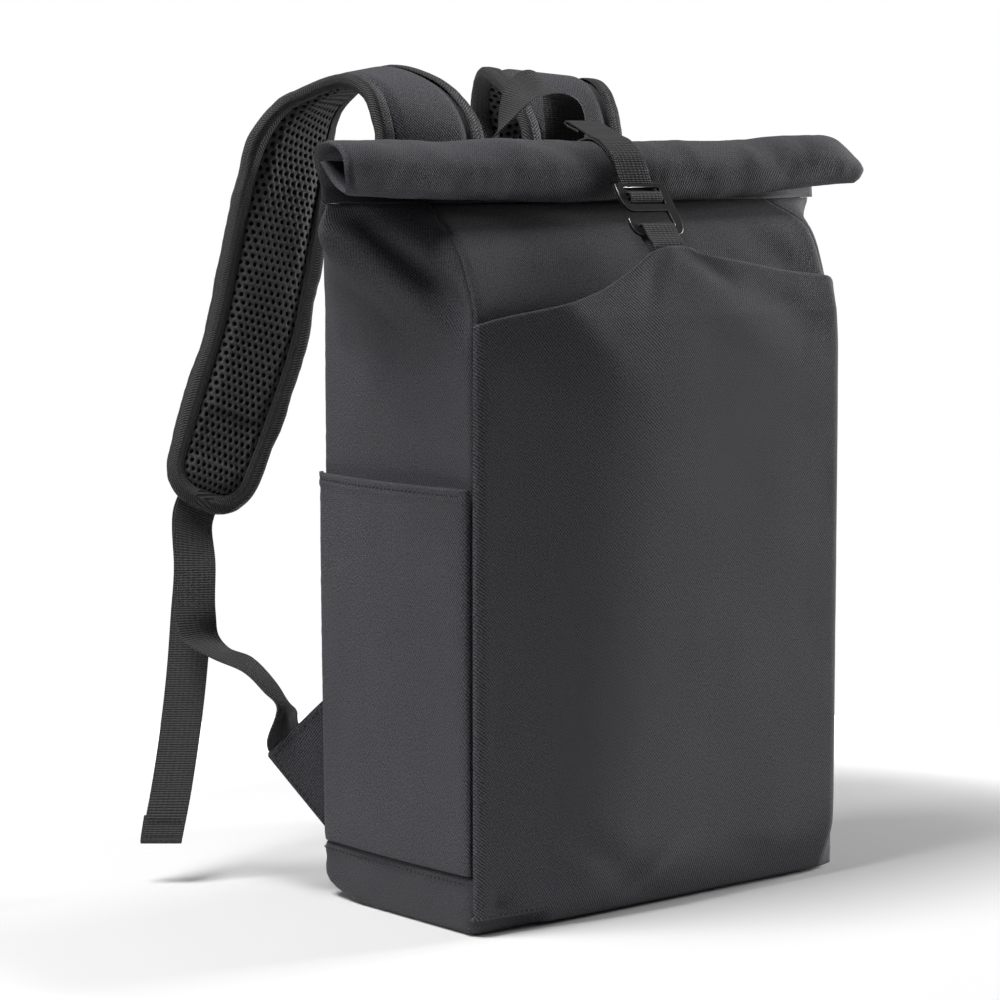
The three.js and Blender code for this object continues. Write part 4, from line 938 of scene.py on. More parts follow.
# %% Paths and bands
def through_points(points, step=1.5):
    """A smooth line through the points, as places a step apart. Points are any long vectors."""
    ends = [points[0] * 2 - points[1], *points, points[-1] * 2 - points[-2]]
    line = [points[0]]
    for p0, p1, p2, p3 in zip(ends, ends[1:], ends[2:], ends[3:]):
        gaps = [max((b - a).length, 1e-6) ** 0.5 for a, b in ((p0, p1), (p1, p2), (p2, p3))]
        t1 = ((p1 - p0) / gaps[0] - (p2 - p0) / (gaps[0] + gaps[1]) + (p2 - p1) / gaps[1]) * gaps[1]
        t2 = ((p2 - p1) / gaps[1] - (p3 - p1) / (gaps[1] + gaps[2]) + (p3 - p2) / gaps[2]) * gaps[1]
        count = max(2, round((p2 - p1).length / step))
        for k in range(1, count + 1):
            t = k / count
            bend = (p1 * -3 + p2 * 3 - t1 * 2 - t2) * t * t + (p1 * 2 - p2 * 2 + t1 + t2) * t ** 3
            line.append(p1 + t1 * t + bend)
    return line


def band_stations(stations, step=1.5):
    """Stations of a band, made close and smooth. A station is its middle and its width's direction."""
    joined = [Vector((*middle, *(across * 10))) for middle, across in stations]
    line = through_points(joined, step)
    made = [(Vector(p[:3]), Vector(p[3:])) for p in line]
    return made


BAND_COLUMNS = [0.0, 0.015, 0.06, 0.2, 0.4, 0.6, 0.8, 0.94, 0.985, 1.0]


def band(name, stations, finish, slot, nodes=(), width=WEB_WIDTH, thick=WEB_THICK, step=1.5, waver=0.15):
    """A band of webbing along its stations."""
    line = band_stations(stations, step)
    last = len(line) - 1

    def place(u, v):
        k = round(v * last)
        middle, across = line[k]
        along = line[min(k + 1, last)][0] - line[max(k - 1, 0)][0]
        across = across.normalized()
        normal = along.cross(across).normalized()
        spot = BAND_COLUMNS[round(u * (len(BAND_COLUMNS) - 1))] - 0.5
        sag = waver * noise.noise(Vector((k * step / 18, spot * 2, len(name))))
        return middle + across * (spot * width) + normal * sag

    length = sum((b[0] - a[0]).length for a, b in zip(line, line[1:]))
    piece = cloth(name, len(BAND_COLUMNS) - 1, last, place, (width, length))
    thicken(piece, thick, offset=0.0, rounds=1)
    sew_on(piece, finish, slot, *nodes)
    print(name, "is", round(length), "mm long")
    return piece


# %% [markdown]
# ## The hook and what it holds
# The flat hook is a G: a frame with two slots for the closure strap, and an open arm below that hangs
# in a loop of webbing on the pocket's peak. The closure strap comes from the back over the roll,
# passes the top bar, turns round the middle bar and comes out again, and its hemmed tail stands free.

# %% Where the hook hangs
HOOK_WIDTH = 40
HOOK_LENGTH = 35
HOOK_THICK = 2.4
HOOK_RAIL = 5
HOOK_LEAN = math.radians(32)
HOOK_HEIGHT = 422
TOP_BAR = 2.6
MIDDLE_BAR = (8, 10)
FRAME_BAR = (14, 18.5)
HOOK_BAR = 5.5
STRAP_DRIFT = 7
hook_down = Vector((-math.sin(HOOK_LEAN), -math.cos(HOOK_LEAN)))
hook_out = Vector((-math.cos(HOOK_LEAN), math.sin(HOOK_LEAN)))
LAYER_STEP = WEB_THICK + SEW_GAP
UNDER_HOOK = HOOK_THICK / 2 + SEW_GAP + WEB_THICK / 2
ROLL_FACE = COLLAR_HALF + SEW_GAP + WEB_THICK / 2


def roll_outside(step, lift):
    share = step / ROLL_STEPS
    return roll_point(share, 0) + roll_normal(share, 0) * lift


hook_top = Vector((roll_outside(10, ROLL_FACE + LAYER_STEP).x + hook_out.x * UNDER_HOOK, HOOK_HEIGHT))


def on_hook(down, out):
    return hook_top + hook_down * down + hook_out * out


def flat_stations(path, drift=0.0):
    """Stations of a band that runs front to back, and slants to the left as it crosses the roll."""
    aside = [-drift * smooth(p.y, HOOK_HEIGHT, ROLL_TOP.y) for p in path]
    return [(Vector((x, p.x, p.y)), Vector((1, 0, 0))) for x, p in zip(aside, path)]


# %% Closure strap
sewn = on_wall("back", 0.5, BODY_HEIGHT * 0.98)
top_seam = on_wall("back", 0.5, BODY_HEIGHT)
anchored = [
    Vector((sewn.y + WEB_THICK, sewn.z + SEW_GAP)),
    Vector((top_seam.y + WEB_THICK, top_seam.z + WEB_THICK)),
    Vector((lerp(top_seam.y, roll_point(0, 0).x, 0.5) + ROLL_FACE, BODY_HEIGHT + NECK_RISE * 0.6)),
    *[roll_outside(k, ROLL_FACE) for k in range(1, 11)],
    on_hook(0, -UNDER_HOOK - LAYER_STEP),
    on_hook(TOP_BAR + 1.4, -UNDER_HOOK - LAYER_STEP),
    on_hook(MIDDLE_BAR[0] - 1, -UNDER_HOOK - LAYER_STEP * 0.4),
    on_hook(MIDDLE_BAR[1], -UNDER_HOOK),
]
bar_reach = UNDER_HOOK * 0.72
round_bar = [
    on_hook(MIDDLE_BAR[1] + bar_reach, -bar_reach),
    on_hook(MIDDLE_BAR[1] + UNDER_HOOK, 0),
    on_hook(MIDDLE_BAR[1] + bar_reach, bar_reach),
]
returning = [
    on_hook(MIDDLE_BAR[1], UNDER_HOOK),
    on_hook(MIDDLE_BAR[0] - 0.8, UNDER_HOOK),
    on_hook(TOP_BAR + 1, -UNDER_HOOK),
    on_hook(0, -UNDER_HOOK),
]
tail = [roll_outside(k, ROLL_FACE + LAYER_STEP) for k in (9, 8, 7, 6)]
away = Vector((0.93, 0.37))
tip = tail[-1] + away * (TAIL_HEM * 1.45)
lower = Vector((away.y, -away.x)) * (LAYER_STEP + 0.1)
hem = [tip, tip + lower * 0.5 + away * 0.9, tip + lower, tip + lower - away * (TAIL_HEM * 0.8)]
strap_path = [*anchored, *round_bar, *returning, *tail, *hem]
band(
    "closure_webbing", flat_stations(strap_path, STRAP_DRIFT), WEBBING, "webbing", ["closure_strap"],
    step=1.2, waver=0.05
)

# %% Loop on the pocket's peak
peak = pocket_point(0.5, 1, 0)
inside_peak = LAYER_STEP * 0.5 + SEW_GAP + WEB_THICK / 2
arm = HOOK_LENGTH - HOOK_BAR
loop_front = [
    Vector((peak.y + inside_peak, peak.z - 22)),
    Vector((peak.y + inside_peak, peak.z - 6)),
    Vector((peak.y + inside_peak + 0.4, peak.z + 1)),
    on_hook(HOOK_LENGTH + 0.6, UNDER_HOOK + 0.2),
    on_hook(arm + 1, UNDER_HOOK),
]
loop_turn = [
    on_hook(arm - UNDER_HOOK * 0.7, UNDER_HOOK * 0.7),
    on_hook(arm - UNDER_HOOK, 0),
    on_hook(arm - UNDER_HOOK * 0.7, -UNDER_HOOK * 0.7),
]
loop_back = [
    on_hook(arm + 1, -UNDER_HOOK),
    on_hook(HOOK_LENGTH + 0.6, -UNDER_HOOK),
    on_hook(HOOK_LENGTH + 3, -UNDER_HOOK * 0.6),
    Vector((peak.y + inside_peak + LAYER_STEP + 2, peak.z - 2)),
    Vector((peak.y + inside_peak + LAYER_STEP, peak.z - 9)),
    Vector((peak.y + inside_peak + LAYER_STEP, peak.z - 22)),
]
band("hook_webbing", flat_stations([*loop_front, *loop_turn, *loop_back]), WEBBING, "webbing", ["hook_loop"],
     step=1.0, waver=0.05)


# %% [markdown]
# ## Flat hard parts
# Hook and ladder locks are flat castings with rounded edges. A flat filled curve with a small bevel
# gives exactly that: the outline and the slots are drawn as closed lines, extruded, made a mesh, and
# only then stood in place. On the hook, the narrow bevel faces get the worn finish.

# %% Flat castings from a drawn outline
def bent(a, control, b, steps=5):
    """Points on a bend from a to b, pulled towards a control point."""
    a, control, b = Vector(a), Vector(control), Vector(b)
    shares = [(k + 1) / steps for k in range(steps)]
    return [a * (1 - t) ** 2 + control * 2 * t * (1 - t) + b * t * t for t in shares]


def casting(name, outlines, thick, bevel, place, finishes):
    """A flat part from closed lines, with its edges rounded, stood in place by a matrix."""
    drawing = bpy.data.curves.new(name, "CURVE")
    drawing.dimensions = "2D"
    drawing.fill_mode = "BOTH"
    drawing.extrude = (thick / 2 - bevel) * MM
    drawing.bevel_depth = bevel * MM
    drawing.bevel_resolution = 2
    drawing.offset = -bevel * MM
    for points in outlines:
        line = drawing.splines.new("POLY")
        line.points.add(len(points) - 1)
        for target, point in zip(line.points, points):
            target.co = (point[0] * MM, point[1] * MM, 0, 1)
        line.use_cyclic_u = True
    drawn = bpy.data.objects.new(name + "_drawing", drawing)
    bpy.context.scene.collection.objects.link(drawn)
    bpy.context.view_layer.update()
    data = bpy.data.meshes.new_from_object(drawn.evaluated_get(bpy.context.evaluated_depsgraph_get()))
    bpy.data.objects.remove(drawn)
    mesh = bmesh.new()
    mesh.from_mesh(data)
    bmesh.ops.remove_doubles(mesh, verts=mesh.verts, dist=1e-6)
    bmesh.ops.recalc_face_normals(mesh, faces=mesh.faces)
    for face in mesh.faces:
        face.material_index = 1 if 0.2 < abs(face.normal.z) < 0.95 and len(finishes) > 1 else 0
        face.smooth = abs(face.normal.z) < 0.99
    threads = mesh.loops.layers.uv.verify()
    for face in mesh.faces:
        for loop in face.loops:
            loop[threads].uv = loop.vert.co.xy
    bmesh.ops.transform(mesh, matrix=place, verts=mesh.verts)
    data.clear_geometry()
    data.materials.clear()
    mesh.to_mesh(data)
    mesh.free()
    data.name = name
    data.uv_layers[0].name = "threads"
    piece = bpy.data.objects.new(name, data)
    bpy.context.scene.collection.objects.link(piece)
    return piece


def in_place(matrix):
    """A placing in the pattern's millimetres as a placing in the scene, for drawings in metres."""
    placed = matrix.copy()
    placed.translation = raised(matrix.translation)
    return placed


# %% The G-hook
half = HOOK_WIDTH / 2
rail = half - HOOK_RAIL
arm_top = HOOK_LENGTH - HOOK_BAR
hook_outline = [
    (-half, 0), (half - 5, 0),
    *bent((half - 5, 0), (half, 1), (half, -7)),
    (half + 1, -FRAME_BAR[1]),
    *bent((half + 1, -FRAME_BAR[1]), (half + 2, -arm_top), (half - 1, -HOOK_LENGTH + 2)),
    *bent((half - 1, -HOOK_LENGTH + 2), (half - 3, -HOOK_LENGTH), (half - 6, -HOOK_LENGTH)),
    (-half + 7, -HOOK_LENGTH),
    *bent((-half + 7, -HOOK_LENGTH), (-half - 1, -HOOK_LENGTH + 1), (-half, -arm_top + 6)),
    *bent((-half, -arm_top + 6), (-half + 2, -arm_top + 8), (-half + 4, -arm_top + 5)),
    *bent((-half + 4, -arm_top + 5), (-half + 4, -arm_top), (-half + 7, -arm_top)),
    (rail - 2, -arm_top),
    *bent((rail - 2, -arm_top), (rail, -arm_top), (rail, -arm_top + 2)),
    (rail - 1, -FRAME_BAR[1] - 2),
    *bent((rail - 1, -FRAME_BAR[1] - 2), (rail - 1, -FRAME_BAR[1]), (rail - 3, -FRAME_BAR[1])),
    (-rail + 2, -FRAME_BAR[1]),
    *bent((-rail + 2, -FRAME_BAR[1]), (-half, -FRAME_BAR[1] + 1), (-half, -TOP_BAR - 4)),
]
hook_slots = [
    [(-rail + 1, -top), (-rail + 1, -foot), (rail - 1, -foot), (rail - 1, -top)]
    for top, foot in ((TOP_BAR, MIDDLE_BAR[0]), (MIDDLE_BAR[1], FRAME_BAR[0]))
]
hook_turn = Matrix.Rotation(math.pi / 2 - HOOK_LEAN, 4, "X")
hook_place = Matrix.Translation((0, hook_top.x, hook_top.y)) @ hook_turn
g_hook = casting("g_hook_metal", [hook_outline, *hook_slots], HOOK_THICK, 0.45, in_place(hook_place), [0, 1])
sew_on(g_hook, BLACK_PAINT, "hook_metal", "g_hook")
g_hook.data.materials.append(WORN_EDGE)
print("hook has", len(g_hook.data.polygons), "faces")

# %% [markdown]
# ## The haul handle
# A loop of the same webbing stands behind the roll. It is given half a turn between its feet, so that
# its crest leans and shows its edge, as the photograph shows.

# %% Haul handle
HANDLE_SPAN = 65
HANDLE_TOP = 483
HANDLE_FORWARD = 41
HANDLE_TILT = math.radians(38)
HANDLE_TURNS = table("at turn", [
    (0, 0), (0.08, 8), (0.25, 62), (0.5, 95), (0.75, 138), (0.92, 172), (1, 180),
])
handle_foot = on_wall("back", 0.5, BODY_HEIGHT * 0.955)
handle_back = handle_foot.y + SEW_GAP + WEB_THICK / 2


def handle_middle(share):
    angle = clamp(share) * math.pi
    height = math.sin(angle) ** 0.7 if 0 < angle < math.pi else 0.0
    x = -math.cos(angle) * (HANDLE_SPAN / 2)
    y = lerp(handle_back, HANDLE_FORWARD, smooth(height, 0, 1))
    return Vector((x, y, lerp(handle_foot.z, HANDLE_TOP, height)))


handle_stations = []
for k in range(23):
    share = k / 22
    twist = math.radians(column(HANDLE_TURNS, "turn", share))
    along = (handle_middle(share + 0.02) - handle_middle(share - 0.02)).normalized()
    level = Vector((
        math.cos(twist),
        math.sin(twist) * math.cos(HANDLE_TILT),
        math.sin(twist) * math.sin(HANDLE_TILT),
    ))
    handle_stations.append((handle_middle(share), (level - along * level.dot(along)).normalized()))
band("haul_webbing", handle_stations, WEBBING, "webbing", ["haul_handle"], step=2)

# %% [markdown]
# ## The shoulder straps
# Each strap is a foam pad with canvas on its outer side and air mesh on the side that lies on the
# wearer. It rises from the yoke, turns over behind the roll and falls beside the bag. The pad is one
# closed form: a loop round its section, carried along the strap's route, thin under the binding and
# full in the middle.

# %% Route of a strap
STRAP_PAD = 9
BINDING_WIDTH = 9
STRAP_ROUND = 22
STRAP_ROUTE = table("x y z turn lift width", [
    (-58, 75, 386, 0, 0, 78),
    (-58, 74.5, 425, -2, 0, 78),
    (-58, 77, 455, 0, 0, 78),
    (-61, 94, 478, 12, 3, 77),
    (-70, 124, 487, 26, 6, 74),
    (-85, 150, 472, 22, 5, 71),
    (-97, 160, 446, 8, 0, 68),
    (-105, 162, 414, -4, 0, 65),
    (-115, 161, 372, -12, 0, 63),
    (-128, 159, 328, -16, 0, 62),
    (-149, 157, 280, -18, 0, 60),
    (-173, 156, 227, -18, 0, 55),
])


def strap_stations(mirror):
    """Close stations down a strap: middle, across, out of its outer side, width and length left."""
    rows = [dict(row, at=k / (len(STRAP_ROUTE) - 1)) for k, row in enumerate(STRAP_ROUTE)]
    middles = [Vector((mirror * row["x"], row["y"], row["z"])) for row in STRAP_ROUTE]
    line, shares = [middles[0]], [0.0]
    ends = [middles[0] * 2 - middles[1], *middles, middles[-1] * 2 - middles[-2]]
    for k in range(len(middles) - 1):
        piece = through_points(ends[k:k + 4], 0.5)
        counts = [max(2, round((b - a).length / 0.5)) for a, b in zip(ends[k:], ends[k + 1:k + 4])]
        inner = piece[counts[0]:counts[0] + counts[1] + 1]
        line += inner[1:]
        shares += [(k + j / counts[1]) / (len(middles) - 1) for j in range(1, counts[1] + 1)]
    passed = [0.0]
    for a, b in zip(line, line[1:]):
        passed.append(passed[-1] + (b - a).length)
    total = passed[-1]
    even = [k / 149 * (total - STRAP_ROUND) for k in range(150)]
    rounded = [total - STRAP_ROUND * (1 - math.sin(k / 14 * math.pi / 2)) for k in range(1, 15)]
    made = []
    k = 0
    for distance in [*even, *rounded]:
        while k < len(passed) - 2 and passed[k + 1] < distance:
            k += 1
        t = (distance - passed[k]) / (passed[k + 1] - passed[k])
        share = lerp(shares[k], shares[k + 1], t)
        turn = mirror * math.radians(column(rows, "turn", share))
        rise = mirror * math.radians(column(rows, "lift", share))
        tangent = (line[min(k + 2, len(line) - 1)] - line[max(k - 1, 0)]).normalized()
        level = Vector((math.cos(turn), math.sin(turn), math.tan(rise)))
        across = (level - tangent * level.dot(tangent)).normalized()
        left = total - distance
        beyond = max(STRAP_ROUND - left, 0)
        cut = STRAP_ROUND - math.sqrt(max(STRAP_ROUND ** 2 - beyond ** 2, 0))
        made.append({
            "middle": line[k].lerp(line[k + 1], clamp(t)),
            "across": across,
            "out": -tangent.cross(across).normalized(),
            "width": column(rows, "width", share) - 2 * cut,
            "left": left,
            "passed": distance,
        })
    return made


LEFT_STRAP = strap_stations(1)
RIGHT_STRAP = strap_stations(-1)
print("a strap is", round(LEFT_STRAP[0]["left"]), "mm long")

# %% [markdown]
# The foam is pressed down under the binding and where the buckle loop is sewn through it, a square
# of 25 mm with a cross. The swell between them is what makes a strap look soft.

# %% Pads of the straps
PATCH_MIDDLE = 43
PATCH_HALF = 12.5


def pad_half(place, station):
    """Half the pad's thickness at a place across it, from -1 to 1."""
    side = (1 - abs(place)) * station["width"] / 2
    left = station["left"]
    corner = STRAP_ROUND - math.hypot(STRAP_ROUND - side, STRAP_ROUND - left)
    edge = corner if side < STRAP_ROUND and left < STRAP_ROUND else min(side, left)
    inside = min(edge, station["passed"] / 2 + 2)
    if inside <= 1:
        return 1.0
    return lerp(2.5, STRAP_PAD, smooth(inside, BINDING_WIDTH - 2, BINDING_WIDTH + 9)) / 2


def inner_side(x, station):
    """How far the wearer's side stands from the middle, pressed in where the loop is sewn."""
    half = pad_half(2 * x / max(station["width"], 1), station)
    press = max(abs(x), abs(station["left"] - PATCH_MIDDLE))
    soft = 0.5 * noise.noise(Vector((x / 14, station["left"] / 18, 3)))
    return half - 2.0 * smooth(PATCH_HALF + 5 - press, 0, 5) + soft * smooth(half, 2, 4)


def strap_place(stations):
    last = len(stations) - 1

    def place(u, v):
        station = stations[round(v * last)]
        turn = (u * 2) % 2
        outer = turn < 1
        spot = -1 + 2 * turn if outer else 3 - 2 * turn
        x = spot * station["width"] / 2
        half_thick = pad_half(spot, station) if outer else inner_side(x, station)
        side = 1 if outer else -1
        return station["middle"] + station["across"] * x + station["out"] * (side * half_thick)

    return place


def strap_pad(side, stations):
    length = stations[0]["left"]
    piece = cloth(f"strap_pad_foam_{side}", 64, len(stations) - 1, strap_place(stations), (126, length),
                  wrap=True, cap=True)
    for face in piece.data.polygons:
        middle = sum((piece.data.vertices[i].co for i in face.vertices), Vector()) / len(face.vertices)
        nearest = min(stations, key=lambda s: (raised(s["middle"]) - middle).length_squared)
        face.material_index = 1 if (middle - raised(nearest["middle"])).dot(nearest["out"]) > 0 else 0
    sew_on(piece, FOAM, "air_mesh", f"strap_pad_{side}")
    piece.data.materials.append(BODY_CANVAS)
    return piece


strap_pad("left", LEFT_STRAP)
strap_pad("right", RIGHT_STRAP)

# %% [markdown]
# The mesh on the wearer's side is a knitted net with round holes, through which the dark foam shows.
# It starts as a fine grid. Each hole is a block of four cells: the eight points round it are moved
# onto a circle, the point in its middle is taken out, and every second row of holes is shifted.

# %% Net over the foam
NET_ACROSS, NET_ALONG, NET_HOLE = 12, 88, 0.64
NET_SIDE = 6.2


def net_point(stations, u, v):
    """A place on the net, from the binding on one side to the other, and from top to end."""
    last = len(stations) - 1
    at = clamp(v) * last
    low = min(int(at), last - 1)
    a, b, t = stations[low], stations[low + 1], at - low
    wide = lerp(a["width"], b["width"], t)
    left = lerp(a["left"], b["left"], t)
    x = (u - 0.5) * (wide - 2 * NET_SIDE)
    station = {"width": wide, "left": left, "passed": lerp(a["passed"], b["passed"], t)}
    thick = inner_side(x, station) + 0.55
    middle, across, out = (a[name].lerp(b[name], t) for name in ("middle", "across", "out"))
    return middle + across * x - out * thick


def net_cover(side, stations):
    mesh = bmesh.new()
    threads = mesh.loops.layers.uv.new("threads")
    columns, rows = NET_ACROSS * 4, NET_ALONG * 4
    bmesh.ops.create_grid(mesh, x_segments=columns, y_segments=rows, size=0.5, calc_uvs=True)
    top, foot = 0.0, 1 - 7.5 / stations[0]["left"]
    inside = []
    for vert in mesh.verts:
        i, j = round((vert.co.x + 0.5) * columns), round((vert.co.y + 0.5) * rows)
        band = j // 4
        shift = 2 * (band % 2)
        right, up = (i + shift) % 4 - 2, j % 4 - 2
        edge = i < 1 or i > columns - 1 or j < 1 or j > rows - 1
        if right == 0 and up == 0 and not edge:
            inside.append(vert)
        elif max(abs(right), abs(up)) == 1 and not edge:
            grow = NET_HOLE * 2 / math.hypot(right, up)
            vert.co.x += right * (grow - 1) / columns
            vert.co.y += up * (grow - 1) / rows
        u, v = vert.co.x + 0.5, vert.co.y + 0.5
        for loop in vert.link_loops:
            loop[threads].uv = (u * 50 * MM, v * stations[0]["left"] * MM)
        vert.co = raised(net_point(stations, u, lerp(top, foot, v)))
    bmesh.ops.delete(mesh, geom=inside, context="VERTS")
    net = as_object(f"strap_net_{side}", mesh)
    thicken(net, 0.7)
    sew_on(net, NET, "air_mesh")
    print("net of the", side, "strap:", len(net.data.polygons), "faces")


net_cover("left", LEFT_STRAP)
net_cover("right", RIGHT_STRAP)

# %% [markdown]
# Ribbed tape is folded over the pad's raw edge, down one side, round the end and up the other, and
# sewn through with one line on each face.

# %% Binding round the straps
BINDING_PROFILE = [(-9, 3.0), (-8.4, 3.35), (-6, 3.5), (-3, 3.55), (-0.6, 3.3), (0.7, 2.2), (1.2, 0),
                   (0.7, -2.2), (-0.6, -3.3), (-3, -3.55), (-6, -3.5), (-8.4, -3.35), (-9, -3.0)]


def strap_edge(stations):
    """The strap's edge as one line: each place with the way out of the pad and out of its face."""
    line = []
    for sign, rows in ((-1, stations), (1, stations[::-1])):
        for station in rows:
            line.append((station["middle"] + station["across"] * (sign * station["width"] / 2), station))
    made = []
    for k, (point, station) in enumerate(line):
        ahead, behind = line[min(k + 1, len(line) - 1)][0], line[max(k - 1, 0)][0]
        along = (ahead - behind).normalized()
        away = along.cross(station["out"]).normalized()
        if away.dot(point - station["middle"]) < 0:
            away = -away
        made.append((point, away, station["out"], station["left"]))
    return made


def binding_point(edge, k, reach, lift):
    point, away, out, _ = edge[k]
    return point + away * reach + out * lift


def binding(side, stations):
    edge = strap_edge(stations)
    last = len(edge) - 1

    def place(u, v):
        k = round(v * last)
        reach, lift = BINDING_PROFILE[round(u * (len(BINDING_PROFILE) - 1))]
        ripple = 0.35 * noise.noise(Vector((k * 0.5, lift * 0.3, 2)))
        slow = 1.5 * noise.noise(Vector((k * 0.13, 0.5, 7)))
        outer = smooth(reach, -5, 0)
        return binding_point(edge, k, reach + ripple + slow * outer, lift * (1 + ripple * 0.2))

    length = 2 * stations[0]["left"]
    piece = cloth(f"strap_tape_{side}", len(BINDING_PROFILE) - 1, last, place, (25, length))
    thicken(piece, 0.7, offset=-1.0)
    sew_on(piece, TAPE, "strap_tape", f"strap_binding_{side}")
    lines = []
    for sign in (1, -1):
        points = [binding_point(edge, k, -7.0, sign * 3.55) for k in range(last + 1)]
        lines += [([a, b], edge[k][2]) for k, (a, b) in enumerate(zip(points, points[1:]))]
    stitches(f"strap_tape_seam_{side}", lines, BLACK_THREAD, "strap_tape", pitch=3.0, length=2.3, thick=0.7)


binding("left", LEFT_STRAP)
binding("right", RIGHT_STRAP)

# %% [markdown]
# ## Ladder locks and adjusters
# At the end of each strap a short loop holds a three-bar ladder lock. The adjuster webbing comes from
# a cloth tab low in the back seam, twists once, passes up behind the lock, turns round its middle bar
# and hangs down with a hemmed end.

# %% Frame at a strap's lower end
LOCK_WIDTH = 33
LOCK_LENGTH = 26
LOCK_THICK = 3
LOCK_BAR = 3.2
LOCK_TOP = -34
ON_STRAP = STRAP_PAD / 2 + 2 * SEW_GAP + WEB_THICK / 2
LOCK_HALF = LOCK_THICK / 2 + SEW_GAP + WEB_THICK / 2
LOCK_MIDDLE = ON_STRAP + LOCK_HALF
LOCK_SLOT = (LOCK_LENGTH - 3 * LOCK_BAR) / 2
TURNING_BAR = LOCK_TOP + LOCK_BAR + LOCK_SLOT


def strap_at(stations, left):
    """A place on a strap, measured up from its lower end."""
    k = len(stations) - 2
    while k > 0 and stations[k]["left"] < left:
        k -= 1
    a, b = stations[k], stations[k + 1]
    t = (a["left"] - left) / (a["left"] - b["left"])
    return {name: a[name].lerp(b[name], t) for name in ("middle", "across", "out")}


def strap_end(stations):
    """Places level with the lock: along the strap from its end, and out of its outer side."""
    middle = -LOCK_TOP - LOCK_LENGTH / 2
    place = strap_at(stations, middle)
    across, out = place["across"].normalized(), place["out"].normalized()
    down = out.cross(across).normalized()

    def at(along, lift):
        return place["middle"] + down * (along + middle) + out * lift, across

    def on(left, lift):
        spot = strap_at(stations, left)
        return spot["middle"] + spot["out"].normalized() * lift, spot["across"].normalized()

    return {"at": at, "on": on, "across": across, "out": out, "down": down}


# %% Ladder lock, buckle loop and their stitching
def ladder_lock(side, end):
    h, inner, c = LOCK_WIDTH / 2, WEB_WIDTH / 2 + 1, 2
    outline_points = [(-h + c, 0), (h - c, 0), (h, -c), (h, -LOCK_LENGTH + c), (h - c, -LOCK_LENGTH),
                      (-h + c, -LOCK_LENGTH), (-h, -LOCK_LENGTH + c), (-h, -c)]
    slots = []
    for top in (LOCK_BAR, 2 * LOCK_BAR + LOCK_SLOT):
        slots.append([(-inner, -top), (-inner, -top - LOCK_SLOT), (inner, -top - LOCK_SLOT), (inner, -top)])
    up = -end["down"]
    turn = Matrix((end["across"], up, end["across"].cross(up))).transposed().to_4x4()
    spot, _ = end["at"](LOCK_TOP, LOCK_MIDDLE)
    place = in_place(Matrix.Translation(spot) @ turn)
    lock = casting(f"ladder_lock_plastic_{side}", [outline_points, *slots], LOCK_THICK, 0.7, place, [0])
    sew_on(lock, PLASTIC, "lock_plastic", f"ladder_lock_{side}")


def buckle_loop(side, end):
    bar, layer = LOCK_TOP + LOCK_BAR, WEB_THICK + SEW_GAP
    at, on = end["at"], end["on"]
    stations = [
        on(60, ON_STRAP), on(48, ON_STRAP), at(LOCK_TOP, ON_STRAP), at(bar, ON_STRAP),
        at(bar + LOCK_HALF * 0.7, LOCK_MIDDLE - LOCK_HALF * 0.6),
        at(bar + LOCK_HALF * 0.7, LOCK_MIDDLE + LOCK_HALF * 0.6),
        at(bar, LOCK_MIDDLE + LOCK_HALF), at(LOCK_TOP - 1, LOCK_MIDDLE + LOCK_HALF),
        on(48, ON_STRAP + layer), on(60, ON_STRAP + layer),
    ]
    band(
        f"buckle_webbing_{side}", stations, WEBBING, "webbing", [f"buckle_loop_{side}"],
        step=1.2, waver=0.05
    )


def box_and_cross(middle, across, down, out, size):
    """Seam lines of a square with a cross."""
    signs = ((-1, -1), (1, -1), (1, 1), (-1, 1))
    corners = [middle + across * (x * size) + down * (y * size) for x, y in signs]
    lines = [[a, b] for a, b in zip(corners, corners[1:] + corners[:1])]
    lines += [[corners[0], corners[2]], [corners[1], corners[3]]]
    return [([a.lerp(b, t / 8) for t in range(9)], out) for a, b in lines]


def patch_stitches(side, stations):
    spot = strap_at(stations, PATCH_MIDDLE)
    out, across = spot["out"].normalized(), spot["across"].normalized()
    down = out.cross(across)
    inner = box_and_cross(spot["middle"] - out * 2.75, across, down, -out, 11)
    outer = box_and_cross(spot["middle"] + out * (ON_STRAP + 2.4), across, down, out, 9.5)
    stitches(f"strap_patch_{side}", inner + outer, BLACK_THREAD, "webbing", pitch=2.4, length=2.3, thick=1.1)


# %% Anchor tabs
TAB_CLOTH = 3
TAB_LAYER = 0.85
TAB_TOP = 116
TAB_FOOT = 38
TAB_REACH = 35
TAB_TIP = 83
TAB_AIM = (-0.76, 0.65)


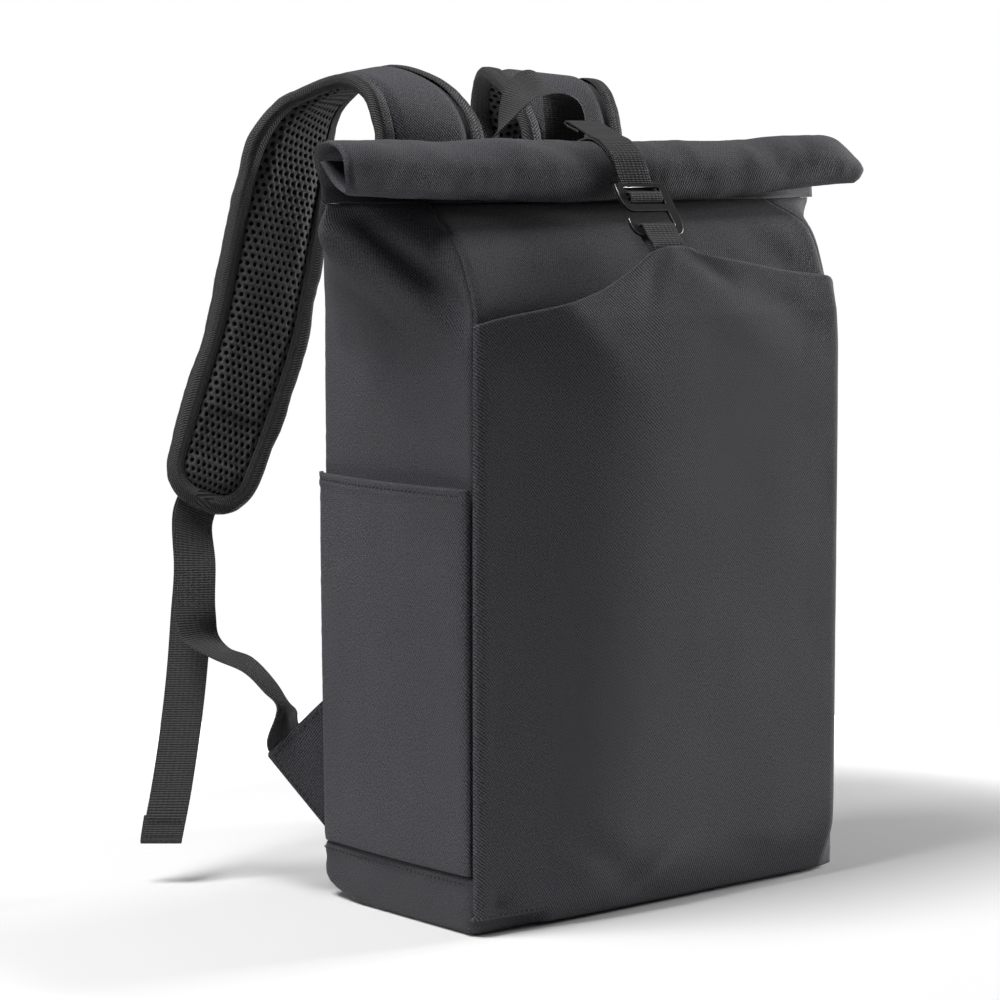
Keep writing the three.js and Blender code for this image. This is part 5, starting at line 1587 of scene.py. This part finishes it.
def anchor_tab(side, mirror):
    """The doubled triangle of cloth, and where the webbing leaves its free edge."""
    seam = on_wall("back" if mirror > 0 else "right", 1.0, TAB_TIP)
    seam.z = 0
    out = Vector((mirror * TAB_AIM[0], TAB_AIM[1], 0)).normalized()
    up = Vector((0, 0, 1))
    facing = out.cross(up)
    start = 2 * SEW_GAP
    shape = [(start, TAB_FOOT), (TAB_REACH, TAB_TIP - 2), (TAB_REACH, TAB_TIP), (start, TAB_TOP)]
    turned = Matrix((out, up, facing)).transposed().to_4x4()
    for layer, sign, nodes in (("front", -1, [f"anchor_tab_{side}"]), ("back", 1, [])):
        spot = seam + facing * (sign * (WEB_THICK + TAB_LAYER + 0.1) / 2)
        place = in_place(Matrix.Translation(spot) @ turned)
        sheet = casting(f"anchor_tab_{layer}_{side}", [shape], TAB_LAYER, 0.3, place, [0])
        sew_on(sheet, BODY_CANVAS, "body_canvas", *nodes)
    lines = []
    for sign in (1, -1):
        face = facing * (sign * (TAB_CLOTH / 2 + 0.1))
        ends = [(start + 1, TAB_FOOT + 4.5), (TAB_REACH - 3, TAB_TIP - 2.5), (start + 1, TAB_TOP - 4.5)]
        spots = [seam + out * x + up * z + face for x, z in ends]
        lines += [([a.lerp(b, t / 10) for t in range(11)], facing * sign) for a, b in zip(spots, spots[1:])]
    stitches(f"anchor_tab_seam_{side}", lines, THREAD_AND_SHADE, "body_canvas")
    slope = (up * (TAB_TIP - TAB_TOP) + out * (TAB_REACH - start)).normalized()
    tip_point = seam + up * TAB_TIP + out * TAB_REACH
    away_from = facing.cross(slope).normalized()
    if away_from.z < 0:
        away_from = -away_from
    edge = tip_point - slope * (WEB_WIDTH / 2 + 1)
    return [(edge - away_from * 6, slope * -mirror), (edge + away_from * (2 * SEW_GAP), slope * -mirror)]


# %% Adjuster webbing
ADJUSTER_RISE = table("x y z turn lift", [
    (-161, 90, 112, 40, 0), (-163, 99, 121, 37, 3), (-166, 118, 133, 41, 10), (-172, 138, 138.5, 30, 5),
    (-177, 151, 147, -2, 4), (-179, 154, 163, -31, 0), (-178, 155, 190, -36, 0),
])
ADJUSTER_TAIL = table("x y z turn lift", [
    (-173, 163, 190, -36, 0), (-175, 164, 160, -38, 0), (-180, 162, 125, -40, 0), (-186, 161, 90, -40, 0),
    (-195, 159, 52, -40, 0), (-203, 158, 23, -40, 0),
])


def aimed(row, mirror):
    a, b = mirror * math.radians(row["turn"]), mirror * math.radians(row["lift"])
    across = Vector((math.cos(a) * math.cos(b), math.sin(a) * math.cos(b), math.sin(b)))
    return Vector((mirror * row["x"], row["y"], row["z"])), across


def adjuster(side, mirror, end, held):
    at, (low, high) = end["at"], (ON_STRAP, LOCK_MIDDLE + LOCK_HALF)
    climbing = [*held, *[aimed(row, mirror) for row in ADJUSTER_RISE]]
    through = [
        at(8, low - 1), at(-6, low), at(TURNING_BAR, low),
        at(TURNING_BAR - LOCK_HALF * 0.7, LOCK_MIDDLE - LOCK_HALF * 0.7),
        at(TURNING_BAR - LOCK_HALF, LOCK_MIDDLE),
        at(TURNING_BAR - LOCK_HALF * 0.7, LOCK_MIDDLE + LOCK_HALF * 0.7),
        at(TURNING_BAR, high), at(-6, high), at(8, high - 1),
    ]
    hanging = [aimed(row, mirror) for row in ADJUSTER_TAIL]
    foot, foot_across = hanging[-1]
    back = end["out"] * (WEB_THICK + 0.1)
    hem_stations = [
        (foot + back * 0.5 + Vector((0, 0, -1)), foot_across),
        (foot + back, foot_across),
        (foot + back + Vector((mirror * 3, 0, TAIL_HEM)), foot_across),
    ]
    stations = [*climbing, *through, *hanging, *hem_stations]
    band(
        f"adjuster_webbing_cloth_{side}", stations, WEBBING, "webbing", [f"adjuster_webbing_{side}"],
        step=1.5
    )
    lines = []
    normal = end["out"]
    for rise in (3, 13):
        middle = foot + Vector((mirror * rise * 0.19, 0, rise))
        for sign in (1, -1):
            offset = normal * (1.5 if sign > 0 else -0.75)
            row = [middle + foot_across * (x * 1.0) + offset for x in (-11, -5, 0, 5, 11)]
            lines.append((row, normal * sign))
    stitches(f"adjuster_hem_{side}", lines, BLACK_THREAD, "webbing", pitch=2.6, length=2.3, thick=0.8)


for side, mirror, stations in (("left", 1, LEFT_STRAP), ("right", -1, RIGHT_STRAP)):
    end = strap_end(stations)
    ladder_lock(side, end)
    buckle_loop(side, end)
    patch_stitches(side, stations)
    adjuster(side, mirror, end, anchor_tab(side, mirror))

# %% [markdown]
# ## The yoke
# A strip of canvas across the top of the back covers the sewn ends of both straps. It lies on the
# back at its own ends and swells over the straps.

# %% Yoke across the strap ends
YOKE_HALF = 0.41
YOKE_ROWS = table("at y", [(362, 75.5), (377, 78.5), (386, 79.6), (393, 79.8)])


def yoke_place(u, v, out=0.0):
    share = lerp(0.5 - YOKE_HALF, 0.5 + YOKE_HALF, u)
    height = lerp(362, 393, v)
    point = on_wall("back", share, height)
    covered = smooth(YOKE_HALF - abs(share - 0.5), 0, 0.05)
    on_back = point.y + 2 * SEW_GAP
    edge = min(v, 1 - v) * 31
    point.y = lerp(on_back, max(on_back, column(YOKE_ROWS, "y", height)), covered) + CLOTH
    stitched = 0.35 * math.exp(-(((edge - 3) / 0.9) ** 2))
    point.y += out + 0.3 * noise.noise(Vector((u * 12, v * 3, 6))) - stitched
    return point


yoke = cloth("yoke_canvas", 120, 24, yoke_place, (240, 31))
thicken(yoke, CLOTH * 0.8)
sew_on(yoke, BODY_CANVAS, "body_canvas", "strap_yoke")
yoke_lines = [[yoke_place(k / 80, v, 0.1) for k in range(2, 79)] for v in (0.1, 0.9)]
stitches("yoke_seam", [(line, Vector((0, 1, 0))) for line in yoke_lines], THREAD_AND_SHADE, "body_canvas")

# %% [markdown]
# ## Floor and light
# The photograph has a white ground and soft light from above and from the right front. A pale floor
# and three large soft panels of light give the same quiet shading.

# %% Pale floor with a glowing rim
mesh = bmesh.new()
bmesh.ops.create_circle(mesh, cap_ends=True, segments=96, radius=0.62)
floor = as_object("studio_floor", mesh)
pale, tree, shader = new_finish("pale_floor_and_glow", 0.9)
place = tree.nodes.new("ShaderNodeTexCoord").outputs["Object"]
grain = speckle(tree, place, 3, 2)
tree.links.new(between(tree, grain, (0.79, 0.79, 0.79), (0.82, 0.82, 0.82)), shader.inputs["Base Color"])
# Painted light: the floor's outer part glows white, its emission rising from nothing at 0.36 m from the
# middle to 0.9 at 0.60 m.
far = tree.nodes.new("ShaderNodeVectorMath")
far.operation = "LENGTH"
tree.links.new(place, far.inputs[0])
rim = tree.nodes.new("ShaderNodeMapRange")
rim.interpolation_type = "SMOOTHSTEP"
rim.inputs["From Min"].default_value = 0.36
rim.inputs["From Max"].default_value = 0.60
rim.inputs["To Min"].default_value = 0.0
rim.inputs["To Max"].default_value = 0.9
tree.links.new(far.outputs["Value"], rim.inputs["Value"])
tree.links.new(rim.outputs[0], shader.inputs["Emission Strength"])
shader.inputs["Emission Color"].default_value = (1, 1, 1, 1)
floor.data.materials.append(pale)


# %% Soft studio light
def soft_panel(name, place, power, size):
    data = bpy.data.lights.new(name, "AREA")
    data.energy = power
    data.size = size
    light = bpy.data.objects.new(name, data)
    bpy.context.scene.collection.objects.link(light)
    light.location = place
    light.rotation_euler = (Vector((0, 0, 0.25)) - Vector(place)).to_track_quat("-Z", "Y").to_euler()


soft_panel("right_panel", (2.65, -0.40, 0.70), 88, 0.8)
soft_panel("left_panel", (-2.4, 0.8, 0.95), 12, 1.1)
soft_panel("top_panel", (-1.0, 0.20, 2.15), 56, 0.9)
world = bpy.data.worlds.new("pale_room")
bpy.context.scene.world = world
world.use_nodes = True
sky = world.node_tree
seen = sky.nodes.new("ShaderNodeLightPath").outputs["Is Camera Ray"]
sky.links.new(calc(sky, "MULTIPLY_ADD", seen, 0.92, 0.08), sky.nodes["Background"].inputs["Strength"])
sky.nodes["Background"].inputs["Color"].default_value = (1.0, 1.0, 1.0, 1)
bpy.context.scene.view_settings.view_transform = "Standard"
